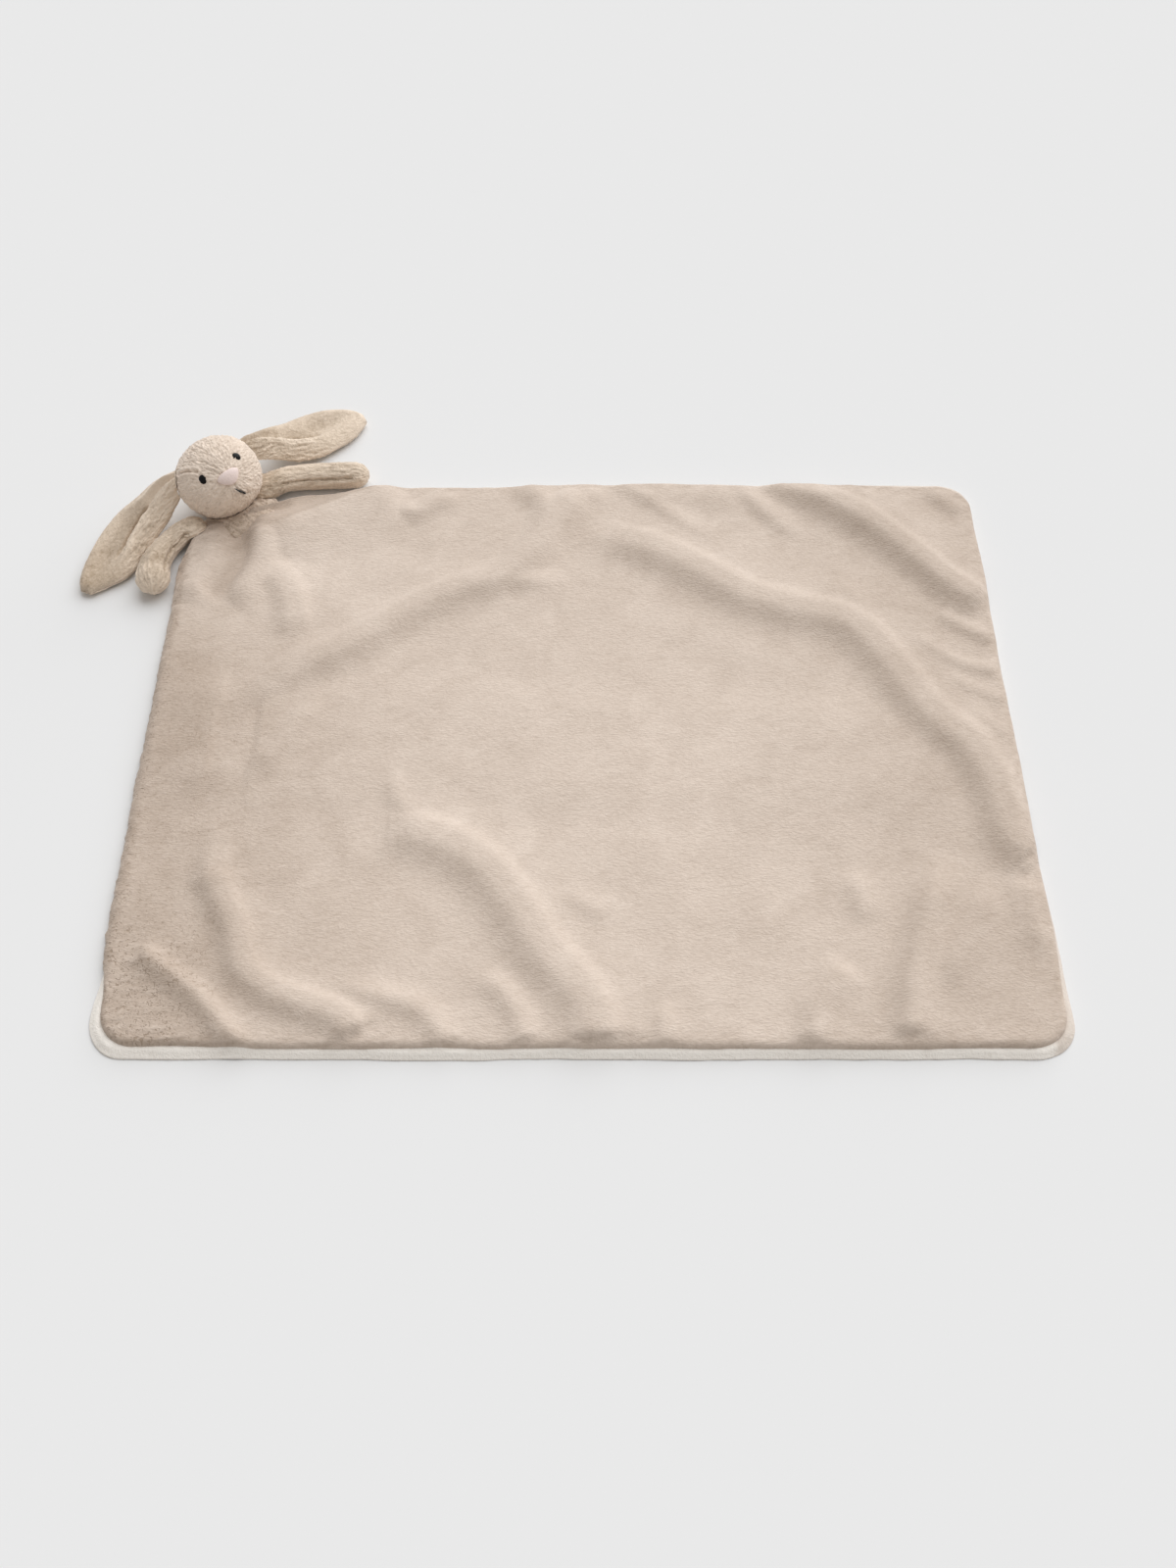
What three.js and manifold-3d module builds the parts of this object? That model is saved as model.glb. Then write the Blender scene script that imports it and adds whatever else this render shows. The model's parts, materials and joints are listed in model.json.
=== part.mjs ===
// A comfort blanket: a rectangular plush blanket, beige on top and cream below, with a small plush
// bunny sewn to its far left corner. Units are millimetres and +Z is up. The origin is on the floor
// under the middle of the blanket, +X runs along the long side and +Y towards the bunny's side.
// The bunny lies face up, so its own left ear and left arm are the ones towards +X.

import * as THREE from 'three';
import { mergeVertices } from 'three/addons/utils/BufferGeometryUtils.js';
import Module from 'manifold-3d';

const wasm = await Module();
wasm.setup();

// Between pieces that touch
const clearance = 0.3;
const cutOverrun = 400;

// Blanket, as it lies
const blanketWidth = 694;
const blanketDepth = 553;
const blanketCornerRadius = 28;
const frontPlush = 4.6;
const frontRoll = 7;
const frontEdgeDrop = 2.4;
const backPlush = 4.4;
const rimWidth = 12;
const rimHeight = 9;
const rimCrestInset = 5;
const rimOuterHeight = 5.6;
const rimInnerHeight = 6.8;
const rimUnderLift = 1.8;
const farEdgeDraw = 7;
const foldLineX = 80;
const panelStep = 32;

// Folds of the blanket: how high each ridge stands and how far it spreads to either side
const highFold = 15;
const middleFold = 11;
const lowFold = 8;
const foldReach = 23;
const foldGround = 1;

// Bunny's place at the blanket's corner, measured from the blanket's left and far edges
const toyFromLeft = 46.6;
const toyFromFar = 42;
const toyTurn = THREE.MathUtils.degToRad(39.5);
const blanketToToy = 6;

// Head
const headRadius = 38;
const headDepthRadius = 37.2;
const headHeightRadius = 37;
const headCrownRadius = 34;
const headFlat = 0.5;
const headBehind = 24.6;
const headPitch = THREE.MathUtils.degToRad(-37.2);
const headRoll = THREE.MathUtils.degToRad(-7.7);
const headPlush = 4.5;
const gussetWidth = 26;
const neckRadius = 15;
const muzzleRise = 2.6;
const cheekRise = 1.6;

// Eyes, with the locking washer that holds each one inside the head
const eyeRadius = 4.5;
const eyeRise = 2.6;
const eyeSink = 1;
const eyeShankRadius = 1.6;
const eyeShankLength = 10;
const washerRadius = 6.5;
const washerThickness = 1.5;

// Nose and mouth
const noseWidth = 21;
const noseAside = 1;
const noseHeight = 12;
const noseRise = 1.4;
const noseDepth = 5;
const noseRound = 1.2;
const stitchRadius = 0.8;

// Ears: two layers of plush, folded along the side that lies towards the blanket
const earReach = 118.4;
const earHalfWidth = 25;
const earThickness = 9;
const earFoldRise = 6;
const earRootRadius = 5;
const earRootSink = 0.45;
const earTipRound = 7;

// Arms
const armReach = 70;
const armHalfWidth = 11.5;
const armFlatness = 0.9;
const armPlush = 3.5;
const armFlat = 0.5;
const armRootX = 44;
const armRootY = 7;
const armRootUp = 13;
const armSeamUp = 11.6;

// Chest
const chestHalfWidth = 37;
const chestHalfDepth = 23;
const chestTop = 21.5;
const chestSink = 7;
const chestAhead = 2;
const chestPlush = 4;

// Counts
const headSides = 24;
const headRings = 14;
const fillSides = 16;
const fillRings = 10;
const limbSides = 12;
const latheSides = 16;

const plushBeige = new THREE.Color(0.73, 0.66, 0.59);
const plushCream = new THREE.Color(0.85, 0.8, 0.73);
const noseInk = new THREE.Color(0.89, 0.78, 0.75);
const threadBlack = new THREE.Color(0.02, 0.02, 0.02);

function finish(color, roughness) {
  return new THREE.MeshStandardMaterial({ color, roughness, metalness: 0 });
}

const frontMaterial = finish(plushBeige, 0.95);
const backMaterial = finish(plushCream, 0.95);
const bunnyMaterial = finish(plushBeige, 0.93);
const fillMaterial = finish(new THREE.Color(0.93, 0.93, 0.92), 1);
const eyeMaterial = finish(threadBlack, 0.12);
const washerMaterial = finish(new THREE.Color(0.85, 0.85, 0.84), 0.4);
const noseMaterial = finish(noseInk, 0.6);
const stitchMaterial = finish(threadBlack, 0.7);

function solidOf(geometry) {
  const bare = geometry.clone();
  bare.deleteAttribute('normal');
  bare.deleteAttribute('uv');
  const merged = mergeVertices(bare);
  return new wasm.Manifold(new wasm.Mesh({
    numProp: 3,
    vertProperties: new Float32Array(merged.attributes.position.array),
    triVerts: new Uint32Array(merged.index.array),
  }));
}

function geometryOf(solid) {
  const mesh = solid.getMesh();
  const geometry = new THREE.BufferGeometry();
  geometry.setAttribute('position', new THREE.BufferAttribute(mesh.vertProperties, 3));
  geometry.setIndex(new THREE.BufferAttribute(mesh.triVerts, 1));
  geometry.computeVertexNormals();
  return geometry;
}

function addPiece(parent, name, geometry, material) {
  const piece = new THREE.Mesh(geometry, material);
  piece.name = name;
  parent.add(piece);
}

// A closed slab between a lower and an upper skin, both given on the same grid of u and v
function slab(us, vs, lowerPoint, upperPoint) {
  const points = [];
  const faces = [];
  const columns = us.length;
  const rows = vs.length;
  const layer = columns * rows;
  for (const skin of [upperPoint, lowerPoint]) {
    for (const v of vs) {
      for (const u of us) {
        points.push(...skin(u, v).toArray());
      }
    }
  }
  const at = (i, j) => j * columns + i;
  const quad = (a, b, c, d) => faces.push(a, b, c, a, c, d);
  for (let j = 0; j < rows - 1; j += 1) {
    for (let i = 0; i < columns - 1; i += 1) {
      const [a, b, c, d] = [at(i, j), at(i + 1, j), at(i + 1, j + 1), at(i, j + 1)];
      quad(a, b, c, d);
      faces.push(a + layer, c + layer, b + layer, a + layer, d + layer, c + layer);
    }
  }
  const edge = [];
  for (let i = 0; i < columns - 1; i += 1) edge.push(at(i, 0));
  for (let j = 0; j < rows - 1; j += 1) edge.push(at(columns - 1, j));
  for (let i = columns - 1; i > 0; i -= 1) edge.push(at(i, rows - 1));
  for (let j = rows - 1; j > 0; j -= 1) edge.push(at(0, j));
  edge.forEach((a, index) => {
    const b = edge[(index + 1) % edge.length];
    quad(a + layer, b + layer, b, a);
  });
  const geometry = new THREE.BufferGeometry();
  geometry.setAttribute('position', new THREE.Float32BufferAttribute(points, 3));
  geometry.setIndex(faces);
  return geometry;
}

// A closed tube through rings of points, pinched to a point at either end
function loft(rings, firstPoint, lastPoint) {
  const sides = rings[0].length;
  const points = rings.flat().flatMap((point) => point.toArray());
  points.push(...firstPoint.toArray(), ...lastPoint.toArray());
  const first = rings.length * sides;
  const faces = [];
  for (let side = 0; side < sides; side += 1) {
    const next = (side + 1) % sides;
    for (let ring = 0; ring < rings.length - 1; ring += 1) {
      const a = ring * sides;
      const b = a + sides;
      faces.push(a + side, a + next, b + next, a + side, b + next, b + side);
    }
    const end = (rings.length - 1) * sides;
    faces.push(first, next, side, first + 1, end + side, end + next);
  }
  const geometry = new THREE.BufferGeometry();
  geometry.setAttribute('position', new THREE.Float32BufferAttribute(points, 3));
  geometry.setIndex(faces);
  return geometry;
}

function box(low, high) {
  const size = high.clone().sub(low);
  const middle = low.clone().add(high).multiplyScalar(1 / 2);
  const geometry = new THREE.BoxGeometry(size.x, size.y, size.z);
  return geometry.translate(middle.x, middle.y, middle.z);
}

// Everything on one side of a plane across one axis: side is -1 below the place, +1 above it
function halfSpace(axis, place, side) {
  const low = new THREE.Vector3(-cutOverrun, -cutOverrun, -cutOverrun);
  const high = new THREE.Vector3(cutOverrun, cutOverrun, cutOverrun);
  if (side > 0) low[axis] = place;
  else high[axis] = place;
  return box(low, high);
}

function aboveFloor(solid, floorMatrix) {
  const floor = halfSpace('z', 0, -1);
  if (floorMatrix) floor.applyMatrix4(floorMatrix);
  return solid.subtract(solidOf(floor));
}

// Blanket

// Each ridge's crest runs through places given as shares of the blanket's width and depth
const middleRidgeShares = [[-0.02, 0.43], [0.04, 0.4], [0.1, 0.38], [0.16, 0.33], [0.21, 0.28], [0.31, 0.26]];
const rightRidgeShares = [[0.31, 0.3], [0.34, 0.24], [0.37, 0.17], [0.41, 0.09], [0.45, 0.02], [0.5, -0.08]];
const bunnyRidgeShares = [[0.01, 0.48], [-0.07, 0.37], [-0.115, 0.32], [-0.19, 0.28], [-0.29, 0.19]];
const farCornerRidgeShares = [[0.31, 0.49], [0.375, 0.43], [0.43, 0.35], [0.5, 0.27]];
const nearRidgeShares = [[-0.165, -0.165], [-0.115, -0.2], [-0.065, -0.265], [-0.03, -0.32], [0.03, -0.46]];
const nearLeftRidgeShares = [[-0.375, -0.23], [-0.355, -0.355], [-0.31, -0.4], [-0.215, -0.465]];
const nearRightRidgeShares = [[0.41, -0.19], [0.385, -0.28], [0.355, -0.39], [0.335, -0.475]];

const foldRidges = [
  { rise: highFold, crestShares: middleRidgeShares },
  { rise: highFold, crestShares: rightRidgeShares },
  { rise: middleFold, crestShares: bunnyRidgeShares },
  { rise: middleFold, crestShares: farCornerRidgeShares },
  { rise: lowFold, crestShares: nearRidgeShares },
  { rise: lowFold, crestShares: nearLeftRidgeShares },
  { rise: lowFold, crestShares: nearRightRidgeShares },
];

const drawStartShare = 0.24;
const drawEndShare = -0.1;

function distanceToSegment(point, start, end) {
  const along = end.clone().sub(start);
  const share = THREE.MathUtils.clamp(point.clone().sub(start).dot(along) / along.lengthSq(), 0, 1);
  return point.distanceTo(start.clone().addScaledVector(along, share));
}

function foldLift(x, y) {
  const point = new THREE.Vector2(x, y);
  let height = 0;
  for (const ridge of foldRidges) {
    const crest = ridge.crestShares.map(([u, v]) => new THREE.Vector2(u * blanketWidth, v * blanketDepth));
    let nearest = Infinity;
    for (let i = 0; i < crest.length - 1; i += 1) {
      nearest = Math.min(nearest, distanceToSegment(point, crest[i], crest[i + 1]));
    }
    height = Math.max(height, ridge.rise * Math.exp(-((nearest / foldReach) ** 2)));
  }
  return Math.max(0, height - foldGround);
}

function gridLines(length, edgeInsets) {
  const half = length / 2;
  const last = edgeInsets[edgeInsets.length - 1];
  const inner = length - 2 * last;
  const count = Math.round(inner / panelStep);
  const middle = Array.from({ length: count + 1 }, (_, i) => -half + last + (i * inner) / count);
  const low = edgeInsets.slice(0, -1).map((inset) => -half + inset);
  return [...low, ...middle, ...low.map((line) => -line).reverse()];
}

// The far edge is drawn in towards the bunny that is sewn to its left end
function laid(x, y, z) {
  const beside = THREE.MathUtils.smoothstep(-x / blanketWidth, drawEndShare, drawStartShare);
  const across = THREE.MathUtils.clamp(y / blanketDepth + 1 / 2, 0, 1);
  const placed = y - farEdgeDraw * beside * across ** 2;
  return new THREE.Vector3(x, placed, z + foldLift(x, placed));
}

function rounded(x, y, z) {
  const startX = blanketWidth / 2 - blanketCornerRadius;
  const startY = blanketDepth / 2 - blanketCornerRadius;
  const dx = Math.abs(x) - startX;
  const dy = Math.abs(y) - startY;
  if (dx <= 0 || dy <= 0) return laid(x, y, z);
  const share = Math.max(dx, dy) / Math.hypot(dx, dy);
  return laid(Math.sign(x) * (startX + dx * share), Math.sign(y) * (startY + dy * share), z);
}

// Height of a profile, given as pairs of distance in from the blanket's edge and height
function heightAt(profile, x, y) {
  const inset = Math.min(blanketWidth / 2 - Math.abs(x), blanketDepth / 2 - Math.abs(y));
  for (let i = 1; i < profile.length; i += 1) {
    const [farInset, farHeight] = profile[i];
    const [nearInset, nearHeight] = profile[i - 1];
    if (inset <= farInset) {
      const share = THREE.MathUtils.clamp((inset - nearInset) / (farInset - nearInset), 0, 1);
      return nearHeight + (farHeight - nearHeight) * share;
    }
  }
  return profile[profile.length - 1][1];
}

const frontInset = rimWidth + clearance;
const frontRolled = frontInset + frontRoll;
const frontBase = backPlush + clearance;
const frontTop = frontBase + frontPlush;
const backInsets = [0, rimCrestInset, rimWidth - clearance, rimWidth, frontRolled, blanketCornerRadius];
const frontInsets = [frontInset, frontRolled, blanketCornerRadius];
const rimProfile = [[0, rimOuterHeight], [rimCrestInset, rimHeight], [rimWidth - clearance, rimInnerHeight],
  [rimWidth, backPlush]];
const underProfile = [[0, rimUnderLift], [rimCrestInset, 0]];
const frontProfile = [[frontInset, frontTop - frontEdgeDrop], [frontRolled, frontTop]];

function sideOfFold(lines, side) {
  const kept = lines.filter((line) => side * (line - foldLineX) > clearance);
  const cut = foldLineX + (side * clearance) / 2;
  return side > 0 ? [cut, ...kept] : [...kept, cut];
}

function backPanel(side) {
  const xs = sideOfFold(gridLines(blanketWidth, backInsets), side);
  const lower = (x, y) => rounded(x, y, heightAt(underProfile, x, y));
  const upper = (x, y) => rounded(x, y, heightAt(rimProfile, x, y));
  return slab(xs, gridLines(blanketDepth, backInsets), lower, upper);
}

function frontPanel(side) {
  const xs = sideOfFold(gridLines(blanketWidth, frontInsets), side);
  const lower = (x, y) => rounded(x, y, frontBase);
  const upper = (x, y) => rounded(x, y, heightAt(frontProfile, x, y));
  return slab(xs, gridLines(blanketDepth, frontInsets), lower, upper);
}

const toy = new THREE.Group();
toy.position.set(-blanketWidth / 2 + toyFromLeft, blanketDepth / 2 - toyFromFar, 0);
toy.rotation.z = toyTurn;
toy.updateMatrix();
const toToy = toy.matrix.clone().invert();

function besideToy(panel) {
  const corner = halfSpace('y', -blanketToToy, 1).applyMatrix4(toy.matrix);
  return solidOf(panel).subtract(solidOf(corner));
}

const blanket = new THREE.Group();
addPiece(blanket, 'front_panel', geometryOf(besideToy(frontPanel(-1))), frontMaterial);
addPiece(blanket, 'back_panel', geometryOf(besideToy(backPanel(-1))), backMaterial);
addPiece(blanket, 'front_panel_fold_side', frontPanel(1), frontMaterial);
addPiece(blanket, 'back_panel_fold_side', backPanel(1), backMaterial);

// Head, in its own frame: +X is the bunny's left, -Y the way it faces and +Z its crown

const bunnySides = { left: 1, right: -1 };

const head = new THREE.Group();
const headUp = headHeightRadius - headFlat;
head.position.set(0, headBehind, headUp);
head.rotation.set(headPitch, headRoll, 0, 'YXZ');
head.updateMatrix();
const toHead = head.matrix.clone().invert();

const forward = new THREE.Vector3(0, -1, 0);
const muzzleShares = new THREE.Vector3(0, -0.95, -0.31);
const cheekShares = new THREE.Vector3(0.62, -0.55, -0.56);
const muzzleSpreadShare = 0.5;
const cheekSpreadShare = 0.45;

function bump(direction, centreShares, spreadShare) {
  const angle = direction.angleTo(centreShares);
  return Math.exp(-((angle / spreadShare) ** 2));
}

function headRadiusAt(direction) {
  const { x, y, z } = direction;
  const tall = z > 0 ? headCrownRadius : headHeightRadius;
  const round = 1 / Math.hypot(x / headRadius, y / headDepthRadius, z / tall);
  const farCheekShares = cheekShares.clone().setX(-cheekShares.x);
  const nearCheek = bump(direction, cheekShares, cheekSpreadShare);
  const farCheek = bump(direction, farCheekShares, cheekSpreadShare);
  const muzzle = bump(direction, muzzleShares, muzzleSpreadShare);
  return round + muzzleRise * muzzle + cheekRise * (nearCheek + farCheek);
}

function headSurface(inset, sides, rings) {
  const geometry = new THREE.SphereGeometry(1, sides, rings).rotateX(Math.PI / 2);
  const places = geometry.attributes.position;
  const direction = new THREE.Vector3();
  for (let i = 0; i < places.count; i += 1) {
    direction.fromBufferAttribute(places, i).normalize();
    direction.multiplyScalar(headRadiusAt(direction) - inset);
    places.setXYZ(i, direction.x, direction.y, direction.z);
  }
  return geometry;
}

function headShell() {
  const neck = new THREE.CylinderGeometry(neckRadius, neckRadius, headRadius, latheSides);
  neck.rotateX(Math.PI / 2).translate(0, 0, -headRadius);
  const inside = solidOf(headSurface(headPlush, fillSides, fillRings));
  const hollow = solidOf(headSurface(0, headSides, headRings)).subtract(inside);
  return aboveFloor(hollow.subtract(solidOf(neck)), toHead.clone().multiply(toToy));
}

// Turns a lathe's axis to point out of the head and stands its zero on the head's surface
function onHead(geometry, direction) {
  const turn = new THREE.Quaternion().setFromUnitVectors(new THREE.Vector3(0, 1, 0), direction);
  const place = direction.clone().multiplyScalar(headRadiusAt(direction));
  return geometry.applyQuaternion(turn).translate(place.x, place.y, place.z);
}

function lathe(profile) {
  const points = profile.map(([radius, up]) => new THREE.Vector2(radius, up));
  return new THREE.LatheGeometry(points, latheSides);
}

const domeSteps = 4;
const hollowRadius = headRadius - headPlush;
const washerHollow = hollowRadius - Math.sqrt(hollowRadius ** 2 - washerRadius ** 2);
const washerTop = -(headPlush + washerHollow + clearance);
const shankEnd = -eyeShankLength;

function eye() {
  const dome = [];
  for (let i = 0; i < domeSteps; i += 1) {
    const angle = (i / domeSteps) * (Math.PI / 2);
    dome.push([eyeRadius * Math.cos(angle), -eyeSink + (eyeRise + eyeSink) * Math.sin(angle)]);
  }
  const shank = [[0, shankEnd], [eyeShankRadius, shankEnd], [eyeShankRadius, -eyeSink]];
  return lathe([...shank, ...dome, [0, eyeRise]]);
}

function eyePocket() {
  const bore = eyeShankRadius + clearance;
  const seat = eyeRadius + clearance;
  const foot = -eyeSink - clearance;
  return lathe([[0, shankEnd - clearance], [bore, shankEnd - clearance], [bore, foot], [seat, foot],
    [seat, eyeRise], [0, eyeRise]]);
}

function washer() {
  const bore = eyeShankRadius + clearance;
  const low = washerTop - washerThickness;
  return lathe([[bore, low], [washerRadius, low], [washerRadius, washerTop], [bore, washerTop], [bore, low]]);
}

function washerPocket(top) {
  const seat = washerRadius + clearance;
  const low = washerTop - washerThickness - clearance;
  return lathe([[0, low], [seat, low], [seat, top], [0, top]]);
}

const eyeShares = new THREE.Vector3(0.5, -0.828, 0.253);
let shell = headShell();
let fill = solidOf(headSurface(headPlush + clearance, fillSides, fillRings));
for (const [side, sign] of Object.entries(bunnySides)) {
  const direction = eyeShares.clone().setX(sign * eyeShares.x).normalize();
  shell = shell.subtract(solidOf(onHead(eyePocket(), direction)));
  shell = shell.subtract(solidOf(onHead(washerPocket(washerTop + clearance), direction)));
  fill = fill.subtract(solidOf(onHead(eyePocket(), direction)));
  fill = fill.subtract(solidOf(onHead(washerPocket(0), direction)));
  addPiece(head, `${side}_eye`, onHead(eye(), direction), eyeMaterial);
  addPiece(head, `${side}_eye_washer`, onHead(washer(), direction), washerMaterial);
}

const seamX = (gussetWidth + clearance) / 2;
const middleX = (gussetWidth - clearance) / 2;
const leftPanel = shell.intersect(solidOf(halfSpace('x', seamX, 1)));
const rightPanel = shell.intersect(solidOf(halfSpace('x', -seamX, -1)));
const besideRightPanel = shell.intersect(solidOf(halfSpace('x', -middleX, 1)));
const gusset = besideRightPanel.intersect(solidOf(halfSpace('x', middleX, -1)));
addPiece(head, 'head_left_panel', geometryOf(leftPanel), bunnyMaterial);
addPiece(head, 'head_right_panel', geometryOf(rightPanel), bunnyMaterial);
addPiece(head, 'head_gusset', geometryOf(gusset), bunnyMaterial);
addPiece(head, 'head_stuffing', geometryOf(fill), fillMaterial);

const noseTopShare = 0.4;
const noseRoundShare = 0.32;
const noseCurveSteps = 4;

function nose() {
  const top = noseTopShare * noseHeight;
  const corners = [
    new THREE.Vector2(-noseWidth / 2 + noseRound, top - noseRound),
    new THREE.Vector2(0, top - noseHeight + noseRound),
    new THREE.Vector2(noseWidth / 2 - noseRound, top - noseRound),
  ];
  const shape = new THREE.Shape();
  corners.forEach((corner, i) => {
    const before = corners[(i + 2) % 3];
    const after = corners[(i + 1) % 3];
    const start = corner.clone().lerp(before, noseRoundShare);
    const end = corner.clone().lerp(after, noseRoundShare);
    if (i === 0) shape.moveTo(start.x, start.y);
    else shape.lineTo(start.x, start.y);
    shape.quadraticCurveTo(corner.x, corner.y, end.x, end.y);
  });
  const plate = new THREE.ExtrudeGeometry(shape, {
    depth: noseDepth - noseRound,
    bevelThickness: noseRound,
    bevelSize: noseRound,
    bevelSegments: 2,
    curveSegments: noseCurveSteps,
  });
  plate.translate(noseAside, 0, headRadiusAt(forward) + noseRise - noseDepth).rotateX(Math.PI / 2);
  return solidOf(plate).subtract(solidOf(headSurface(-clearance, headSides, headRings)));
}

addPiece(head, 'nose', geometryOf(nose()), noseMaterial);

const mouthCourseShares = [[-0.02, -0.967, -0.253], [0.05, -0.925, -0.37], [0.11, -0.88, -0.46],
  [0.17, -0.82, -0.541]];
const stitchSides = 8;
const stitchSteps = 10;

function mouthStitch() {
  const stand = stitchRadius + clearance;
  const points = mouthCourseShares.map((shares) => {
    const direction = new THREE.Vector3(...shares).normalize();
    return direction.multiplyScalar(headRadiusAt(direction) + stand);
  });
  const section = new THREE.Shape();
  for (let i = 0; i < stitchSides; i += 1) {
    const angle = (i / stitchSides) * 2 * Math.PI;
    const corner = [stitchRadius * Math.cos(angle), stitchRadius * Math.sin(angle)];
    if (i === 0) section.moveTo(...corner);
    else section.lineTo(...corner);
  }
  const path = new THREE.CatmullRomCurve3(points);
  return new THREE.ExtrudeGeometry(section, { steps: stitchSteps, extrudePath: path });
}

addPiece(head, 'mouth_stitch', mouthStitch(), stitchMaterial);

// The blanket's corner with the clearance all round it, for cutting what lies over it
function blanketNearToy() {
  const grown = 2 * clearance;
  const xs = sideOfFold(gridLines(blanketWidth + grown, backInsets), -1);
  const lower = (x, y) => laid(x, y, -cutOverrun);
  const upper = (x, y) => laid(x, y, frontTop + clearance);
  const panel = slab(xs, gridLines(blanketDepth + grown, backInsets), lower, upper).applyMatrix4(toToy);
  return solidOf(panel).intersect(solidOf(halfSpace('y', clearance - blanketToToy, -1)));
}

const nearBlanket = blanketNearToy();
const nearHead = solidOf(headSurface(-clearance, headSides, headRings).applyMatrix4(head.matrix));

function besideHead(solid) {
  return solid.subtract(nearBlanket).subtract(nearHead);
}

// Ears. A course gives, from the root to the tip, how far out, how far across and how high the
// middle of the ear runs and how wide it is, as shares of the reach, the half width, the root's
// height and the half width.

const leftEarCourseShares = [[0, 0, 1, 0.5], [0.08, 0.12, 0.82, 0.66], [0.17, 0.24, 0.54, 0.78],
  [0.27, 0.32, 0.28, 0.86], [0.39, 0.3, 0.08, 0.93], [0.53, 0.26, 0, 0.96], [0.66, 0.26, 0, 0.98],
  [0.79, 0.2, 0, 0.84], [0.9, 0.12, 0, 0.6], [1, 0, 0, 0.24]];
const rightEarCourseShares = [[0, 0, 1, 0.5], [0.07, 0.1, 0.82, 0.66], [0.15, 0.16, 0.54, 0.8],
  [0.24, 0.14, 0.26, 0.9], [0.36, 0.02, 0.06, 0.97], [0.49, -0.18, 0, 1], [0.6, -0.38, 0, 0.94],
  [0.72, -0.58, 0, 0.8], [0.82, -0.74, 0, 0.56], [0.91, -0.84, 0, 0.24]];
const earRootShares = new THREE.Vector3(0.9615, 0.231, 0.137);
const earSteps = 13;
const earColumns = 6;
const edgeThicknessShare = 0.35;
const earFoldPlaceShare = 0.5;
const earFoldSpreadShare = 0.4;

// Share of full thickness at a distance from a rounded end
function endShare(distance, radius) {
  const inside = Math.max(0, radius - distance) / radius;
  return Math.max(edgeThicknessShare, Math.sqrt(Math.max(0, 1 - inside ** 2)));
}

function earCourse(courseShares, sign) {
  const rootOut = headRadius + clearance + earRootRadius - earRootSink;
  const root = earRootShares.clone().multiplyScalar(rootOut);
  root.add(new THREE.Vector3(0, headBehind, headUp));
  const points = [];
  const widths = [];
  const flatUp = earThickness / 2 - headFlat;
  for (const [out, across, up, width] of courseShares) {
    const x = sign * (root.x + out * earReach);
    const y = root.y + across * earHalfWidth;
    points.push(new THREE.Vector3(x, y, Math.max(flatUp, up * root.z)));
    widths.push(new THREE.Vector3(width * earHalfWidth, 0, 0));
  }
  return { path: new THREE.CatmullRomCurve3(points), widths: new THREE.CatmullRomCurve3(widths) };
}

// One skin of the ear: level runs from -1, the underside, to +1, the top side
function earPoint(course, sign, along, across, level, shift) {
  const length = course.path.getLength();
  const rootShare = earRootRadius / length;
  const share = Math.max(0, (along * (1 + rootShare) - rootShare));
  const place = course.path.getPoint(share);
  const tangent = course.path.getTangent(share);
  const behind = Math.max(0, rootShare - along * (1 + rootShare)) * length;
  place.addScaledVector(tangent, -behind);
  const side = new THREE.Vector3(-tangent.y, tangent.x, 0).normalize();
  const normal = new THREE.Vector3().crossVectors(tangent, side).normalize();
  const fromRoot = along * (length + earRootRadius);
  const fromTip = (1 - along) * (length + earRootRadius);
  const ends = Math.min(endShare(fromRoot, earRootRadius), endShare(fromTip, earTipRound));
  const edge = Math.max(edgeThicknessShare, Math.sqrt(1 - across ** 2));
  const nearSide = -sign * earFoldPlaceShare;
  const ridge = Math.exp(-(((across - nearSide) / earFoldSpreadShare) ** 2)) * Math.sin(Math.PI * along);
  const rise = level > 0 ? earFoldRise * ridge : 0;
  const half = (level * earThickness * ends * edge) / 2 + rise;
  place.addScaledVector(side, across * course.widths.getPoint(share).x);
  place.addScaledVector(normal, half + shift);
  if (level < 0) place.z = Math.max(0, place.z);
  return place;
}

function shareSteps(count, low, high) {
  return Array.from({ length: count + 1 }, (_, i) => low + ((high - low) * i) / count);
}

function addEar(name, courseShares, sign) {
  const course = earCourse(courseShares, sign);
  const rootShare = earRootRadius / (course.path.getLength() + earRootRadius);
  const alongs = [0, rootShare / 3, rootShare, ...shareSteps(earSteps, 2 * rootShare, 1 - rootShare), 1];
  const acrosses = shareSteps(earColumns, -1, 1);
  const skin = (level, shift) => (along, across) => earPoint(course, sign, along, across, level, shift);
  const back = slab(alongs, acrosses, skin(-1, 0), skin(0, -clearance / 2));
  const lining = slab(alongs, acrosses, skin(0, clearance / 2), skin(1, 0));
  addPiece(toy, `${name}_ear_back`, geometryOf(solidOf(back).subtract(nearHead)), bunnyMaterial);
  addPiece(toy, `${name}_ear_lining`, geometryOf(solidOf(lining).subtract(nearHead)), bunnyMaterial);
}

addEar('left', leftEarCourseShares, bunnySides.left);
addEar('right', rightEarCourseShares, bunnySides.right);

// Arms. A course gives, from the shoulder to the paw, how far out, how far across and how thick
// the arm is, as shares of the reach, the reach and the half width.

const shoulderShare = 0.87;
const leftArmCourseShares = [[0, 0, shoulderShare], [0.13, -0.02, shoulderShare], [0.31, -0.1, 0.9],
  [0.55, -0.25, 0.95], [0.76, -0.4, 1], [0.89, -0.49, 1]];
const rightArmCourseShares = [[0, 0, shoulderShare], [0.15, -0.01, shoulderShare], [0.37, -0.1, 0.9],
  [0.57, -0.23, 1], [0.7, -0.36, 1.08], [0.76, -0.44, 1.1]];
const armSteps = 8;
const capSteps = 3;

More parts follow.
